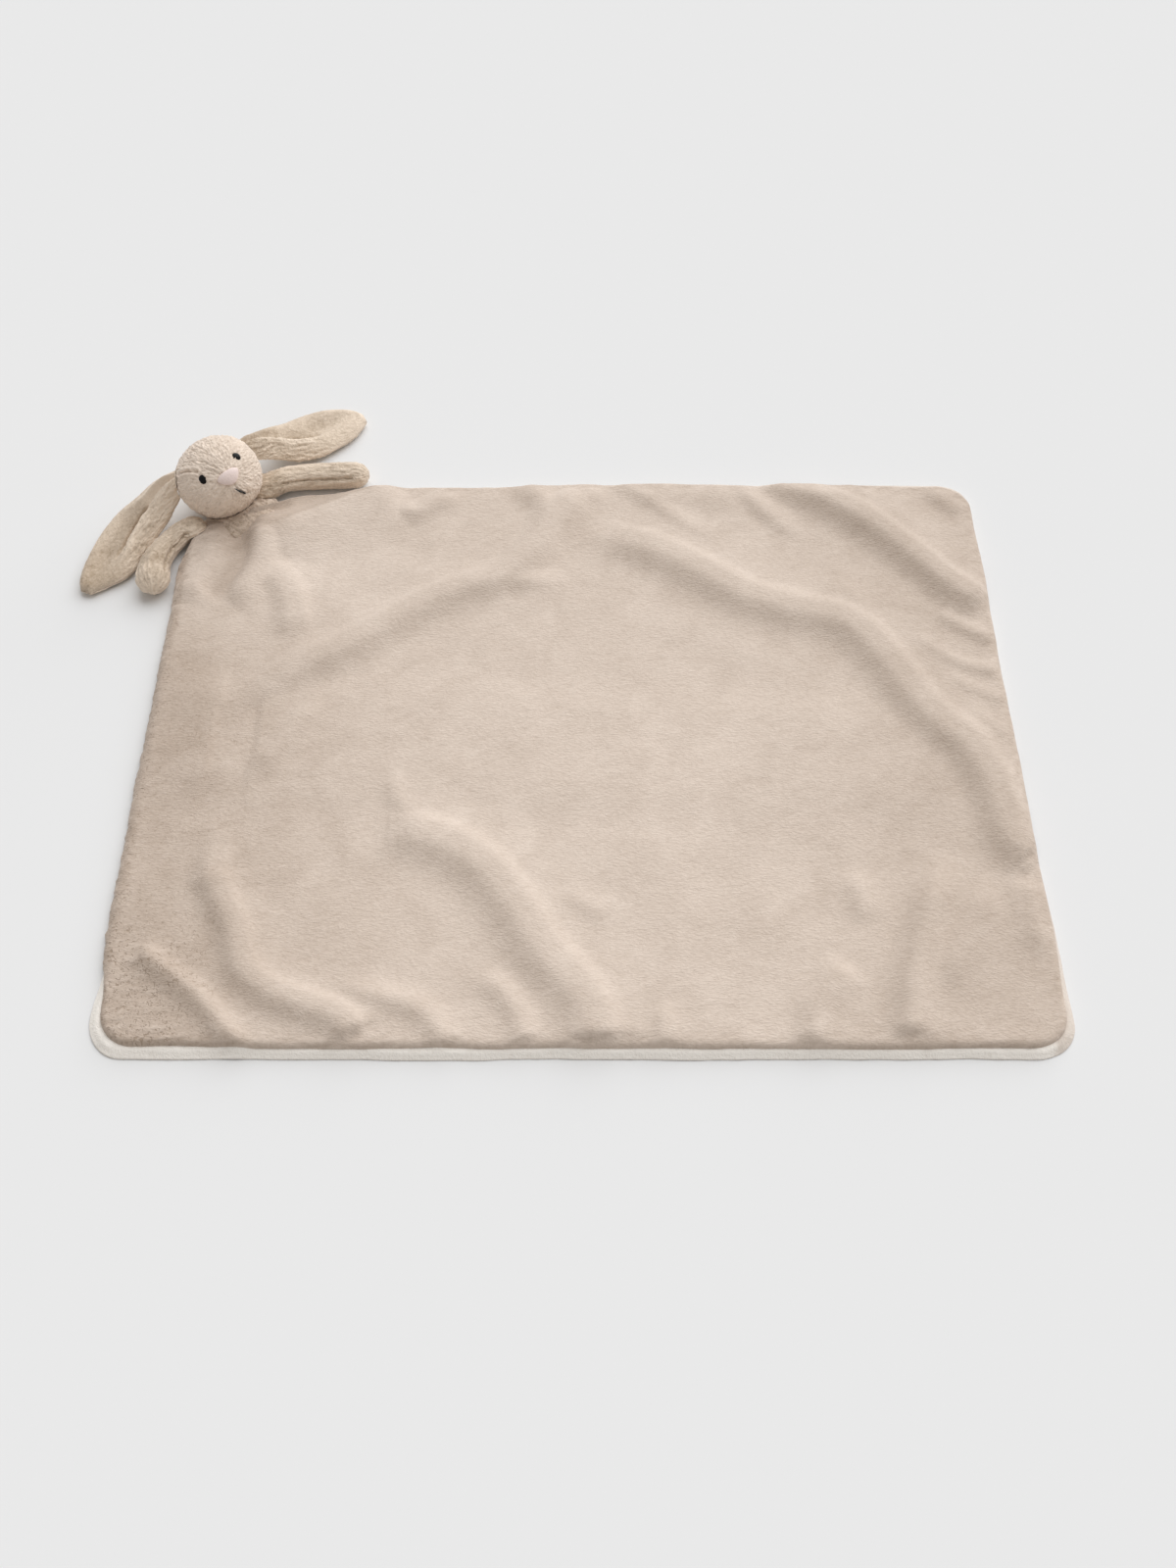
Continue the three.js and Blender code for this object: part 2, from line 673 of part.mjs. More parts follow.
function limbPoints(course, inset) {
  const length = course.path.getLength();
  const firstRadius = course.radii.getPoint(0).x;
  const lastRadius = course.radii.getPoint(1).x;
  const rings = [];
  const addRing = (share, behind, radius) => {
    const centre = course.path.getPoint(share).addScaledVector(course.path.getTangent(share), behind);
    const tangent = course.path.getTangent(share);
    const side = new THREE.Vector3(-tangent.y, tangent.x, 0).normalize();
    const normal = new THREE.Vector3().crossVectors(tangent, side);
    const ring = [];
    for (let i = 0; i < limbSides; i += 1) {
      const angle = (i / limbSides) * 2 * Math.PI;
      const point = centre.clone().addScaledVector(side, radius * Math.cos(angle));
      ring.push(point.addScaledVector(normal, armFlatness * radius * Math.sin(angle)));
    }
    rings.push(ring);
  };
  for (let i = 1; i < capSteps; i += 1) {
    const angle = (i / capSteps) * (Math.PI / 2);
    const radius = firstRadius - inset;
    addRing(0, -radius * Math.cos(angle), radius * Math.sin(angle));
  }
  for (let i = 0; i <= armSteps; i += 1) {
    addRing(i / armSteps, 0, course.radii.getPoint(i / armSteps).x - inset);
  }
  for (let i = capSteps - 1; i > 0; i -= 1) {
    const angle = (i / capSteps) * (Math.PI / 2);
    const radius = lastRadius - inset;
    addRing(1, radius * Math.cos(angle), radius * Math.sin(angle));
  }
  const startPoint = course.path.getPoint(0).addScaledVector(course.path.getTangent(0), inset - firstRadius);
  const endPoint = course.path.getPoint(1).addScaledVector(course.path.getTangent(1), lastRadius - inset);
  return loft(rings, startPoint, endPoint);
}

function armCourse(courseShares, sign) {
  const points = [];
  const radii = [];
  for (const [out, across, width] of courseShares) {
    const radius = width * armHalfWidth;
    const up = out === 0 ? armRootUp : armFlatness * radius - armFlat;
    points.push(new THREE.Vector3(sign * (armRootX + out * armReach), armRootY + across * armReach, up));
    radii.push(new THREE.Vector3(radius, 0, 0));
  }
  return { path: new THREE.CatmullRomCurve3(points), radii: new THREE.CatmullRomCurve3(radii) };
}

function addArm(name, courseShares, sign) {
  const course = armCourse(courseShares, sign);
  const outer = besideHead(aboveFloor(solidOf(limbPoints(course, 0))));
  const hollow = outer.subtract(solidOf(limbPoints(course, armPlush)));
  const above = solidOf(halfSpace('z', armSeamUp + clearance / 2, 1));
  const below = solidOf(halfSpace('z', armSeamUp - clearance / 2, -1));
  addPiece(toy, `${name}_arm_top_panel`, geometryOf(hollow.intersect(above)), bunnyMaterial);
  addPiece(toy, `${name}_arm_under_panel`, geometryOf(hollow.intersect(below)), bunnyMaterial);
  const fillForm = besideHead(solidOf(limbPoints(course, armPlush + clearance)));
  addPiece(toy, `${name}_arm_stuffing`, geometryOf(fillForm), fillMaterial);
}

addArm('left', leftArmCourseShares, bunnySides.left);
addArm('right', rightArmCourseShares, bunnySides.right);

// Chest: a small stuffed pouch that the head, the arms and the blanket's corner are sewn to

function chestForm(inset) {
  const geometry = new THREE.SphereGeometry(1, fillSides, fillRings).rotateX(Math.PI / 2);
  const halfHeight = (chestTop + chestSink) / 2;
  geometry.scale(chestHalfWidth - inset, chestHalfDepth - inset, halfHeight - inset);
  return geometry.translate(0, -chestAhead, (chestTop - chestSink) / 2);
}

function besideChest(solid) {
  let cut = besideHead(aboveFloor(solid));
  const shoulderRadius = shoulderShare * armHalfWidth + clearance;
  for (const sign of Object.values(bunnySides)) {
    const shoulder = new THREE.SphereGeometry(shoulderRadius, limbSides, limbSides / 2);
    cut = cut.subtract(solidOf(shoulder.translate(sign * armRootX, armRootY, armRootUp)));
  }
  return cut;
}

const chestCover = besideChest(solidOf(chestForm(0)).subtract(solidOf(chestForm(chestPlush))));
addPiece(toy, 'chest_cover', geometryOf(chestCover), bunnyMaterial);
const chestFill = besideChest(solidOf(chestForm(chestPlush + clearance)));
addPiece(toy, 'chest_stuffing', geometryOf(chestFill), fillMaterial);

toy.add(head);

const comfortBlanket = new THREE.Group();
comfortBlanket.add(blanket, toy);

export default comfortBlanket;
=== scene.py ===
"""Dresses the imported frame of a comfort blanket: a plush blanket with a small bunny at one corner.

The blanket lies on the floor with +X along its long side and +Y towards the bunny's side. The toy's
own frame has its origin on the floor under the bunny's neck, +X to the bunny's left and -Y towards
the blanket. Lengths are metres, and MM turns millimetres into them.
"""

import functools
import json
import math

import bpy
import numpy as np
from bpy.props import FloatProperty, FloatVectorProperty, PointerProperty
from mathutils import Matrix, Vector, noise


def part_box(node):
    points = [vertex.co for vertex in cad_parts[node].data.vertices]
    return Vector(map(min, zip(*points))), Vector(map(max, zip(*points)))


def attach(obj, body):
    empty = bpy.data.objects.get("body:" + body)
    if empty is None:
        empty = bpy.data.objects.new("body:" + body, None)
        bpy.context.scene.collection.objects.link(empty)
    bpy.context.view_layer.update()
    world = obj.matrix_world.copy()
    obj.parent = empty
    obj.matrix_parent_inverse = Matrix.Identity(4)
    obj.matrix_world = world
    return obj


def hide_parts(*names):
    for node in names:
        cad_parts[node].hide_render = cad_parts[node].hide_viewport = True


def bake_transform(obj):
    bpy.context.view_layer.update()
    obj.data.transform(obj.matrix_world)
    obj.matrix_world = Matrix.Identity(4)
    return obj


bl_info = {
    "name": "Comfort blanket",
    "version": (1, 0, 0),
    "blender": (4, 5, 0),
    "location": "View3D > Sidebar > Comfort Blanket",
    "description": "Builds a plush comfort blanket with a bunny at its corner",
    "category": "Object",
}

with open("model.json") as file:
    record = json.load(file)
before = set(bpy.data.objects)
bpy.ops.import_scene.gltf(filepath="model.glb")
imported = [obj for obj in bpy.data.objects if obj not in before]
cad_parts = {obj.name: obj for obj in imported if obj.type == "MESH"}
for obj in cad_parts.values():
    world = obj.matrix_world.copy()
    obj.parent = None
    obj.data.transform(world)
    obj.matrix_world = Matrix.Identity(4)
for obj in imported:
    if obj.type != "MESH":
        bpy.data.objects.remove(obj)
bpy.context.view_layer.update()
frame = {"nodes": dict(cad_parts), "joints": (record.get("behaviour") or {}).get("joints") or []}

MM = 0.001


def srgb(red, green, blue):
    """Linear colour of a colour given as it shows on a screen, from 0 to 255"""
    screen = np.array([red, green, blue]) / 255
    linear = np.where(screen < 0.04045, screen / 12.92, ((screen + 0.055) / 1.055) ** 2.4)
    return tuple(float(level) for level in linear)


# Places of the blanket and the toy

back_low, back_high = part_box("back_panel")
fold_low, fold_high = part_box("back_panel_fold_side")
HALF_WIDTH = (fold_high.x - back_low.x) / 2
HALF_DEPTH = (fold_high.y - fold_low.y) / 2
CORNER_RADIUS = 28 * MM
FAR_EDGE_DRAW = 4.5 * MM
FAR_EDGE_DRAW_AT_ARM = 8 * MM

TOY_FROM_LEFT = 46.6 * MM
TOY_FROM_FAR = 42 * MM
TOY_TURN = math.radians(39.5)
HEAD_CENTRE = Vector((0, 24.6 * MM, 36.5 * MM))
HEAD_RADIUS = 38 * MM
HEAD_PITCH = math.radians(-37.2)
HEAD_ROLL = math.radians(-7.7)

toy_place = Vector((TOY_FROM_LEFT - HALF_WIDTH, HALF_DEPTH - TOY_FROM_FAR, 0))
toy_matrix = Matrix.Translation(toy_place) @ Matrix.Rotation(TOY_TURN, 4, "Z")
head_turn = Matrix.Rotation(HEAD_ROLL, 4, "Y") @ Matrix.Rotation(HEAD_PITCH, 4, "X")
head_matrix = toy_matrix @ Matrix.Translation(HEAD_CENTRE) @ head_turn
SIDES = {"left": 1, "right": -1}


# Settings that a user would change


class BlanketSettings(bpy.types.PropertyGroup):
    """Sizes and colours of the blanket"""

    pile: FloatProperty(
        name="Front plush", description="Thickness of the front plush", default=4.6 * MM, unit="LENGTH"
    )
    back_pile: FloatProperty(
        name="Back plush", description="Thickness of the back plush", default=4.4 * MM, unit="LENGTH"
    )
    rim_height: FloatProperty(
        name="Rim height", description="Height of the rolled edge", default=4.6 * MM, unit="LENGTH"
    )
    grid_step: FloatProperty(
        name="Mesh step", description="Spacing of the cloth's vertices", default=3.0 * MM, unit="LENGTH"
    )
    fold_height: FloatProperty(
        name="Fold height", description="Share of the folds' full height", default=1.0, min=0, max=1.5
    )
    # The front's tips and shade lie further apart than the cloth's own colours, so that the painted light and
    # shade over it can reach them
    front_colour: FloatVectorProperty(
        name="Front colour",
        description="Colour of the pile's tips",
        default=srgb(226, 210, 196),
        subtype="COLOR",
    )
    front_shade: FloatVectorProperty(
        name="Front shade",
        description="Colour between the pile's tips",
        default=srgb(170, 151, 134),
        subtype="COLOR",
    )
    # The back plush is nearly white, lighter than its own colour: painted light on the rim's near side, which
    # faces away from the key light
    back_colour: FloatVectorProperty(
        name="Back colour",
        description="Colour of the back plush",
        default=srgb(253, 247, 239),
        subtype="COLOR",
    )
    back_shade: FloatVectorProperty(
        name="Back shade",
        description="Colour between the back's tips",
        default=srgb(205, 189, 175),
        subtype="COLOR",
    )


class BunnySettings(bpy.types.PropertyGroup):
    """Sizes and colours of the bunny"""

    fur: FloatProperty(
        name="Fur depth", description="Depth of the clumps in the fur", default=1.3 * MM, unit="LENGTH"
    )
    clump: FloatProperty(
        name="Clump width", description="Width of a clump of fur", default=1.7 * MM, unit="LENGTH"
    )
    ear_roll: FloatProperty(
        name="Ear roll", description="Height of the rolled side of an ear", default=9 * MM, unit="LENGTH"
    )
    # The fur's tips are lighter and its shade darker than the fur's own colours, so that the painted light
    # and shade over the head and chest can span them
    fur_colour: FloatVectorProperty(
        name="Fur colour",
        description="Colour of the fur's tips",
        default=srgb(246, 229, 213),
        subtype="COLOR",
    )
    fur_shade: FloatVectorProperty(
        name="Fur shade",
        description="Colour between the tips",
        default=srgb(170, 150, 130),
        subtype="COLOR",
    )
    # The limbs' tips are lighter and their shade darker than the fur's own colours, so that the painted light
    # and shade over the ears and arms can span them
    limb_colour: FloatVectorProperty(
        name="Limb colour",
        description="Colour of the limbs' tips",
        default=srgb(238, 220, 200),
        subtype="COLOR",
    )
    limb_shade: FloatVectorProperty(
        name="Limb shade",
        description="Colour between the tips",
        default=srgb(160, 140, 117),
        subtype="COLOR",
    )
    nose_colour: FloatVectorProperty(
        name="Nose colour",
        description="Colour of the velour nose",
        default=srgb(248, 231, 225),
        subtype="COLOR",
    )


class StageSettings(bpy.types.PropertyGroup):
    """Floor and light"""

    floor_colour: FloatVectorProperty(
        name="Floor colour",
        description="Colour of floor and backdrop",
        default=srgb(233, 233, 233),
        subtype="COLOR",
    )
    key_level: FloatProperty(
        name="Key light", description="Strength of the soft key light", default=2.87, min=0
    )
    fill_level: FloatProperty(
        name="Fill light", description="Strength of the light from all round", default=0.36, min=0
    )


def blanket_settings():
    return bpy.context.scene.comfort_blanket


def bunny_settings():
    return bpy.context.scene.comfort_bunny


# Number helpers


def smooth(low, high, value):
    """0 below low, 1 above high and an even rise between them"""
    share = np.clip((value - low) / (high - low), 0, 1)
    return share * share * (3 - 2 * share)


def hump(distance, spread):
    return np.exp(-((distance / spread) ** 2))


def noise_at(points, size, seed):
    """Smooth noise from about -1 to 1 whose lumps measure size"""
    return np.array([noise.noise(place) for place in (points / size + seed).tolist()])


WAVE_SEED = 5


def combed(points, flow, size, reach, seed, steps=4, waviness=0.0):
    """Noise drawn out into strands that follow the flow, from about -1 to 1"""
    if waviness:
        noise.seed_set(WAVE_SEED)
        places = (points / (size * 5) + seed).tolist()
        points = points + waviness * np.array([noise.noise_vector(place) for place in places])
    offsets = np.linspace(-reach, reach, 2 * steps + 1)
    total = sum(noise_at(points + flow * offset, size, seed) for offset in offsets)
    return total / math.sqrt(len(offsets)) / 0.75


def moved(points, matrix):
    rotation = np.array(matrix.to_3x3())
    return points @ rotation.T + np.array(matrix.translation)


def turned(vectors, matrix):
    return vectors @ np.array(matrix.to_3x3()).T


def unit(vectors):
    lengths = np.linalg.norm(vectors, axis=-1, keepdims=True)
    return vectors / np.maximum(lengths, 1e-12)


def course(points, count):
    """A smooth run of count points through the given ones"""
    known = np.array(points, float)
    padded = np.vstack([2 * known[0] - known[1], known, 2 * known[-1] - known[-2]])
    place = np.linspace(0, len(known) - 1, count)
    first = np.clip(place.astype(int), 0, len(known) - 2)
    share = (place - first)[:, None]
    a, b, c, d = (padded[first + i] for i in range(4))
    linear = (c - a) * share
    square = (2 * a - 5 * b + 4 * c - d) * share**2
    cube = (3 * b - a - 3 * c + d) * share**3
    return b + (linear + square + cube) / 2


# Mesh helpers


def mesh_object(name, points, faces, shade_smooth=True):
    mesh = bpy.data.meshes.new(name)
    mesh.from_pydata(points.reshape(-1, 3).tolist(), [], faces)
    mesh.update()
    piece = bpy.data.objects.new(name, mesh)
    bpy.context.scene.collection.objects.link(piece)
    if shade_smooth:
        mesh.shade_smooth()
    return piece


def slab_faces(rows, columns):
    """Faces of a closed slab: an upper grid of points followed by a lower one"""
    index = np.arange(rows * columns).reshape(rows, columns)
    layer = rows * columns
    a, b, c, d = index[:-1, :-1], index[:-1, 1:], index[1:, 1:], index[1:, :-1]
    upper = np.stack([a, b, c, d], -1).reshape(-1, 4)
    lower = np.stack([a, d, c, b], -1).reshape(-1, 4) + layer
    border = np.concatenate([index[0, :], index[1:, -1], index[-1, -2::-1], index[-2:0:-1, 0]])
    following = np.roll(border, -1)
    sides = np.stack([border + layer, following + layer, following, border], -1)
    return np.vstack([upper, lower, sides]).tolist()


def slab(name, upper, lower):
    rows, columns = upper.shape[:2]
    points = np.vstack([upper.reshape(-1, 3), lower.reshape(-1, 3)])
    return mesh_object(name, points, slab_faces(rows, columns))


def tube(name, rings, first, last):
    """A closed tube through rings of points, pinched to a point at either end"""
    count, around = rings.shape[:2]
    index = np.arange(count * around).reshape(count, around)
    following = np.roll(index, -1, axis=1)
    quads = np.stack([index[:-1], following[:-1], following[1:], index[1:]], -1).reshape(-1, 4).tolist()
    start, end = count * around, count * around + 1
    quads += [[start, b, a] for a, b in zip(index[0].tolist(), following[0].tolist())]
    quads += [[end, a, b] for a, b in zip(index[-1].tolist(), following[-1].tolist())]
    return mesh_object(name, np.vstack([rings.reshape(-1, 3), first, last]), quads)


def points_of(piece):
    places = np.zeros(len(piece.data.vertices) * 3, np.float32)
    piece.data.vertices.foreach_get("co", places)
    return places.reshape(-1, 3).astype(float)


def normals_of(piece):
    piece.data.update()
    normals = np.zeros(len(piece.data.vertices) * 3, np.float32)
    piece.data.vertices.foreach_get("normal", normals)
    return normals.reshape(-1, 3).astype(float)


def place_points(piece, points):
    piece.data.vertices.foreach_set("co", points.astype(np.float32).ravel())
    piece.data.update()


def keep_value(piece, name, values):
    """Stores a number for each vertex, which the materials read"""
    attribute = piece.data.attributes.new(name, "FLOAT", "POINT")
    attribute.data.foreach_set("value", values.astype(np.float32))


def keep_rest(piece, points):
    """Stores each vertex's place at rest, so that a material stays with the cloth when it bends"""
    attribute = piece.data.attributes.new("rest", "FLOAT_VECTOR", "POINT")
    attribute.data.foreach_set("vector", points.astype(np.float32).ravel())


def apply_modifiers(piece):
    depsgraph = bpy.context.evaluated_depsgraph_get()
    mesh = bpy.data.meshes.new_from_object(piece.evaluated_get(depsgraph))
    piece.modifiers.clear()
    old = piece.data
    piece.data = mesh
    bpy.data.meshes.remove(old)
    mesh.name = piece.name
    mesh.shade_smooth()


def subdivide(piece, levels):
    modifier = piece.modifiers.new("Finer", "SUBSURF")
    modifier.levels = levels
    modifier.render_levels = levels
    apply_modifiers(piece)


def swelling(cap):
    return cap


def inflate(piece, pinned, cap, pressure=4.0, frames=20):
    """Swells a closed cloth shape between its pinned seams, and lets no vertex move further than cap"""
    if not cap:
        return
    group = piece.vertex_groups.new(name="seams")
    group.add(np.flatnonzero(pinned).tolist(), 1.0, "REPLACE")
    before = points_of(piece)
    cloth = piece.modifiers.new("Swell", "CLOTH")
    cloth.settings.quality = 6
    cloth.settings.mass = 0.15
    cloth.settings.use_pressure = True
    cloth.settings.uniform_pressure_force = pressure
    cloth.settings.vertex_group_mass = group.name
    cloth.settings.effector_weights.gravity = 0
    cloth.point_cache.frame_start = 1
    cloth.point_cache.frame_end = frames
    for number in range(1, frames + 1):
        bpy.context.scene.frame_set(number)
    swollen = piece.evaluated_get(bpy.context.evaluated_depsgraph_get())
    after = points_of(swollen)
    piece.modifiers.clear()
    piece.vertex_groups.clear()
    bpy.context.scene.frame_set(1)
    moves = after - before
    lengths = np.linalg.norm(moves, axis=1, keepdims=True)
    place_points(piece, before + moves * np.minimum(1, cap / np.maximum(lengths, 1e-9)))


# Shader nodes


def add_node(tree, kind, place, inputs=(), **values):
    shader = tree.nodes.new(kind)
    shader.location = place
    for name, value in values.items():
        setattr(shader, name, value)
    for name, value in dict(inputs).items():
        socket = shader.inputs[name]
        if hasattr(value, "is_output"):
            tree.links.new(value, socket)
        else:
            socket.default_value = value
    return shader


def math_node(tree, operation, first, second, place, clamp=False):
    shader = add_node(tree, "ShaderNodeMath", place, operation=operation, use_clamp=clamp)
    for socket, value in zip(shader.inputs, (first, second)):
        if hasattr(value, "is_output"):
            tree.links.new(value, socket)
        else:
            socket.default_value = value
    return shader.outputs[0]


def new_group(name, inputs, outputs):
    tree = bpy.data.node_groups.new(name, "ShaderNodeTree")
    for label, kind, default in inputs:
        socket = tree.interface.new_socket(label, in_out="INPUT", socket_type=kind)
        if default is not None:
            socket.default_value = default
    for label, kind in outputs:
        tree.interface.new_socket(label, in_out="OUTPUT", socket_type=kind)
    return tree


@functools.lru_cache
def pile_group():
    """Colour, roughness and relief of plush: strokes of the tips, tufts, brushed patches and partings, with
    the tone and the painted light and shade that the Fur input brings
    """
    tree = new_group(
        "Plush pile",
        [
            ("Vector", "NodeSocketVector", None),
            ("Tips", "NodeSocketColor", None),
            ("Shade", "NodeSocketColor", None),
            ("Fur", "NodeSocketFloat", 0.5),
            ("Grain Scale", "NodeSocketFloat", 900.0),
            ("Tuft Scale", "NodeSocketFloat", 420.0),
            ("Patch Scale", "NodeSocketFloat", 30.0),
            ("Parting Scale", "NodeSocketFloat", 300.0),
            ("Grain Depth", "NodeSocketFloat", 0.5),
            ("Patch Depth", "NodeSocketFloat", 0.3),
            ("Fur Depth", "NodeSocketFloat", 0.0),
            ("Parting Depth", "NodeSocketFloat", 0.0),
            ("Lie", "NodeSocketVector", (1.0, 1.0, 1.0)),
        ],
        [
            ("Color", "NodeSocketColor"),
            ("Roughness", "NodeSocketFloat"),
            ("Height", "NodeSocketFloat"),
        ],
    )
    given = add_node(tree, "NodeGroupInput", (-1300, 0)).outputs
    swirl = add_node(
        tree,
        "ShaderNodeTexNoise",
        (-1100, 300),
        {"Vector": given["Vector"], "Scale": 60.0, "Detail": 1.0},
    ).outputs["Color"]
    drift = add_node(
        tree, "ShaderNodeVectorMath", (-920, 300), {0: swirl, 1: (0.006, 0.006, 0.006)}, operation="MULTIPLY"
    ).outputs[0]
    waved = add_node(
        tree, "ShaderNodeVectorMath", (-760, 300), {0: given["Vector"], 1: drift}, operation="ADD"
    ).outputs[0]
    combed_places = add_node(
        tree, "ShaderNodeVectorMath", (-600, 300), {0: waved, 1: given["Lie"]}, operation="MULTIPLY"
    ).outputs[0]
    grain = add_node(
        tree,
        "ShaderNodeTexNoise",
        (-420, 360),
        {"Vector": combed_places, "Scale": given["Grain Scale"], "Detail": 2.0, "Roughness": 0.55},
    ).outputs["Fac"]
    tuft = add_node(
        tree,
        "ShaderNodeTexVoronoi",
        (-420, 120),
        {"Vector": combed_places, "Scale": given["Tuft Scale"], "Randomness": 1.0},
    ).outputs["Distance"]
    patch = add_node(
        tree,
        "ShaderNodeTexNoise",
        (-420, -120),
        {"Vector": given["Vector"], "Scale": given["Patch Scale"], "Detail": 1.5, "Distortion": 0.8},
    ).outputs["Fac"]
    parting = parting_mask(tree, waved, given["Parting Scale"])
    dent = math_node(tree, "MULTIPLY", tuft, 0.45, (-220, 120))
    relief = math_node(tree, "SUBTRACT", grain, dent, (-60, 200))
    fine = math_node(tree, "SUBTRACT", relief, 0.3, (100, 260))
    fine = math_node(tree, "MULTIPLY", fine, given["Grain Depth"], (260, 260))
    broad = math_node(tree, "SUBTRACT", patch, 0.5, (-60, 0))
    broad = math_node(tree, "MULTIPLY", broad, given["Patch Depth"], (100, 0))
    # The Fur input carries combed strands and the tone with painted light and shade
    strands = math_node(tree, "SUBTRACT", given["Fur"], 0.5, (-60, -160))
    strands = math_node(tree, "MULTIPLY", strands, given["Fur Depth"], (100, -160))
    parted = math_node(tree, "MULTIPLY", parting, given["Parting Depth"], (100, -320))
    mask = math_node(tree, "ADD", fine, broad, (420, 160))
    mask = math_node(tree, "ADD", mask, strands, (580, 160))
    mask = math_node(tree, "SUBTRACT", mask, parted, (740, 160))
    mask = math_node(tree, "ADD", mask, 0.72, (900, 160), clamp=True)
    colour = add_node(
        tree,
        "ShaderNodeMix",
        (1080, 240),
        {"Factor": mask, 6: given["Shade"], 7: given["Tips"]},
        data_type="RGBA",
    )
    roughness = math_node(tree, "MULTIPLY_ADD", mask, -0.12, (1080, 0))
    roughness.node.inputs[2].default_value = 0.98
    height = math_node(tree, "SUBTRACT", relief, parted, (420, -100))
    result = add_node(tree, "NodeGroupOutput", (1280, 100)).inputs
    tree.links.new(colour.outputs[2], result["Color"])
    tree.links.new(roughness, result["Roughness"])
    tree.links.new(height, result["Height"])
    return tree


def parting_mask(tree, places, scale):
    """1 in short curly strokes where the pile lies parted"""
    curls = add_node(
        tree,
        "ShaderNodeTexNoise",
        (-220, -420),
        {"Vector": places, "Scale": scale, "Detail": 1.0, "Distortion": 1.6},
    ).outputs["Fac"]
    return add_node(
        tree, "ShaderNodeMapRange", (-60, -420), {"Value": curls, 1: 0.6, 2: 0.7, 3: 0.0, 4: 1.0}
    ).outputs[0]


def new_material(name):
    material = bpy.data.materials.new(name)
    material.use_nodes = True
    material.node_tree.nodes.clear()
    return material, material.node_tree


def add_surface(tree, inputs):
    shader = add_node(tree, "ShaderNodeBsdfPrincipled", (-160, 60), inputs)
    result = add_node(tree, "ShaderNodeOutputMaterial", (160, 60))
    tree.links.new(shader.outputs["BSDF"], result.inputs["Surface"])


@functools.lru_cache
def grain_group():
    """Roughness and relief of a fine even grain"""
    tree = new_group(
        "Fine grain",
        [
            ("Vector", "NodeSocketVector", None),
            ("Scale", "NodeSocketFloat", 900.0),
            ("Least Roughness", "NodeSocketFloat", 0.4),
            ("Roughness Spread", "NodeSocketFloat", 0.15),
        ],
        [("Roughness", "NodeSocketFloat"), ("Height", "NodeSocketFloat")],
    )
    given = add_node(tree, "NodeGroupInput", (-500, 0)).outputs
    grain = add_node(
        tree,
        "ShaderNodeTexNoise",
        (-300, 0),
        {"Vector": given["Vector"], "Scale": given["Scale"], "Detail": 2.0},
    ).outputs["Fac"]
    roughness = math_node(tree, "MULTIPLY_ADD", grain, given["Roughness Spread"], (-100, 80))
    tree.links.new(given["Least Roughness"], roughness.node.inputs[2])
    result = add_node(tree, "NodeGroupOutput", (120, 0)).inputs
    tree.links.new(roughness, result["Roughness"])
    tree.links.new(grain, result["Height"])
    return tree


def grained_material(name, colour, scale, roughness, relief=None, specular=0.5):
    """A plain finish with a fine grain, given the least roughness and its spread, and a depth and strength"""
    material, tree = new_material(name)
    place = add_node(tree, "ShaderNodeTexCoord", (-800, 0)).outputs["Object"]
    grain = add_node(tree, "ShaderNodeGroup", (-600, 0), node_tree=grain_group())
    least, spread = roughness
    values = {"Scale": scale, "Least Roughness": least, "Roughness Spread": spread}
    for socket_name, value in values.items():
        grain.inputs[socket_name].default_value = value
    tree.links.new(place, grain.inputs["Vector"])
    inputs = {
        "Base Color": (*colour, 1),
        "Roughness": grain.outputs["Roughness"],
        "Specular IOR Level": specular,
    }
    if relief:
        depth, strength = relief
        bump = add_node(
            tree,
            "ShaderNodeBump",
            (-380, -160),
            {"Height": grain.outputs["Height"], "Strength": strength, "Distance": depth},
        )
        inputs["Normal"] = bump.outputs["Normal"]
    add_surface(tree, inputs)
    return material


PILE_SHEEN = 0.25
PILE_RELIEF_STRENGTH = 0.7


def plush_material(name, tips, shade, values, relief=0.7 * MM):
    """Plush whose pile lies in the cloth's own rest places, so that it doesn't slide when the cloth bends"""
    material, tree = new_material(name)
    rest = add_node(tree, "ShaderNodeAttribute", (-900, 100), attribute_name="rest").outputs["Vector"]
    # The fur attribute holds each vertex's combed strands and tone, with painted light and shade
    fur = add_node(tree, "ShaderNodeAttribute", (-900, -120), attribute_name="fur").outputs["Fac"]
    pile = add_node(tree, "ShaderNodeGroup", (-640, 0), node_tree=pile_group())
    for socket_name, value in {"Tips": (*tips, 1), "Shade": (*shade, 1), **values}.items():
        pile.inputs[socket_name].default_value = value
    tree.links.new(rest, pile.inputs["Vector"])
    tree.links.new(fur, pile.inputs["Fur"])
    ruffle = add_node(tree, "ShaderNodeAttribute", (-900, -340), attribute_name="ruffle").outputs["Fac"]
    tree.links.new(ruffle, pile.inputs["Parting Depth"])
    bump = add_node(
        tree,
        "ShaderNodeBump",
        (-380, -160),
        {"Height": pile.outputs["Height"], "Strength": PILE_RELIEF_STRENGTH, "Distance": relief},
    )
    inputs = {
        "Base Color": pile.outputs["Color"],
        "Roughness": pile.outputs["Roughness"],
        "Normal": bump.outputs["Normal"],
        "Sheen Weight": PILE_SHEEN,
        "Sheen Roughness": 0.45,
        "Specular IOR Level": 0.2,
    }
    add_surface(tree, inputs)
    return material


@functools.lru_cache
def front_plush_material():
    settings = blanket_settings()
    values = {
        "Grain Depth": 0.42,
        "Patch Depth": 0.42,
        "Fur Depth": 0.75,
        "Grain Scale": 950.0,
        "Tuft Scale": 500.0,
        "Patch Scale": 26.0,
        "Lie": (0.4, 1, 1),
    }
    return plush_material("Front plush", settings.front_colour, settings.front_shade, values)


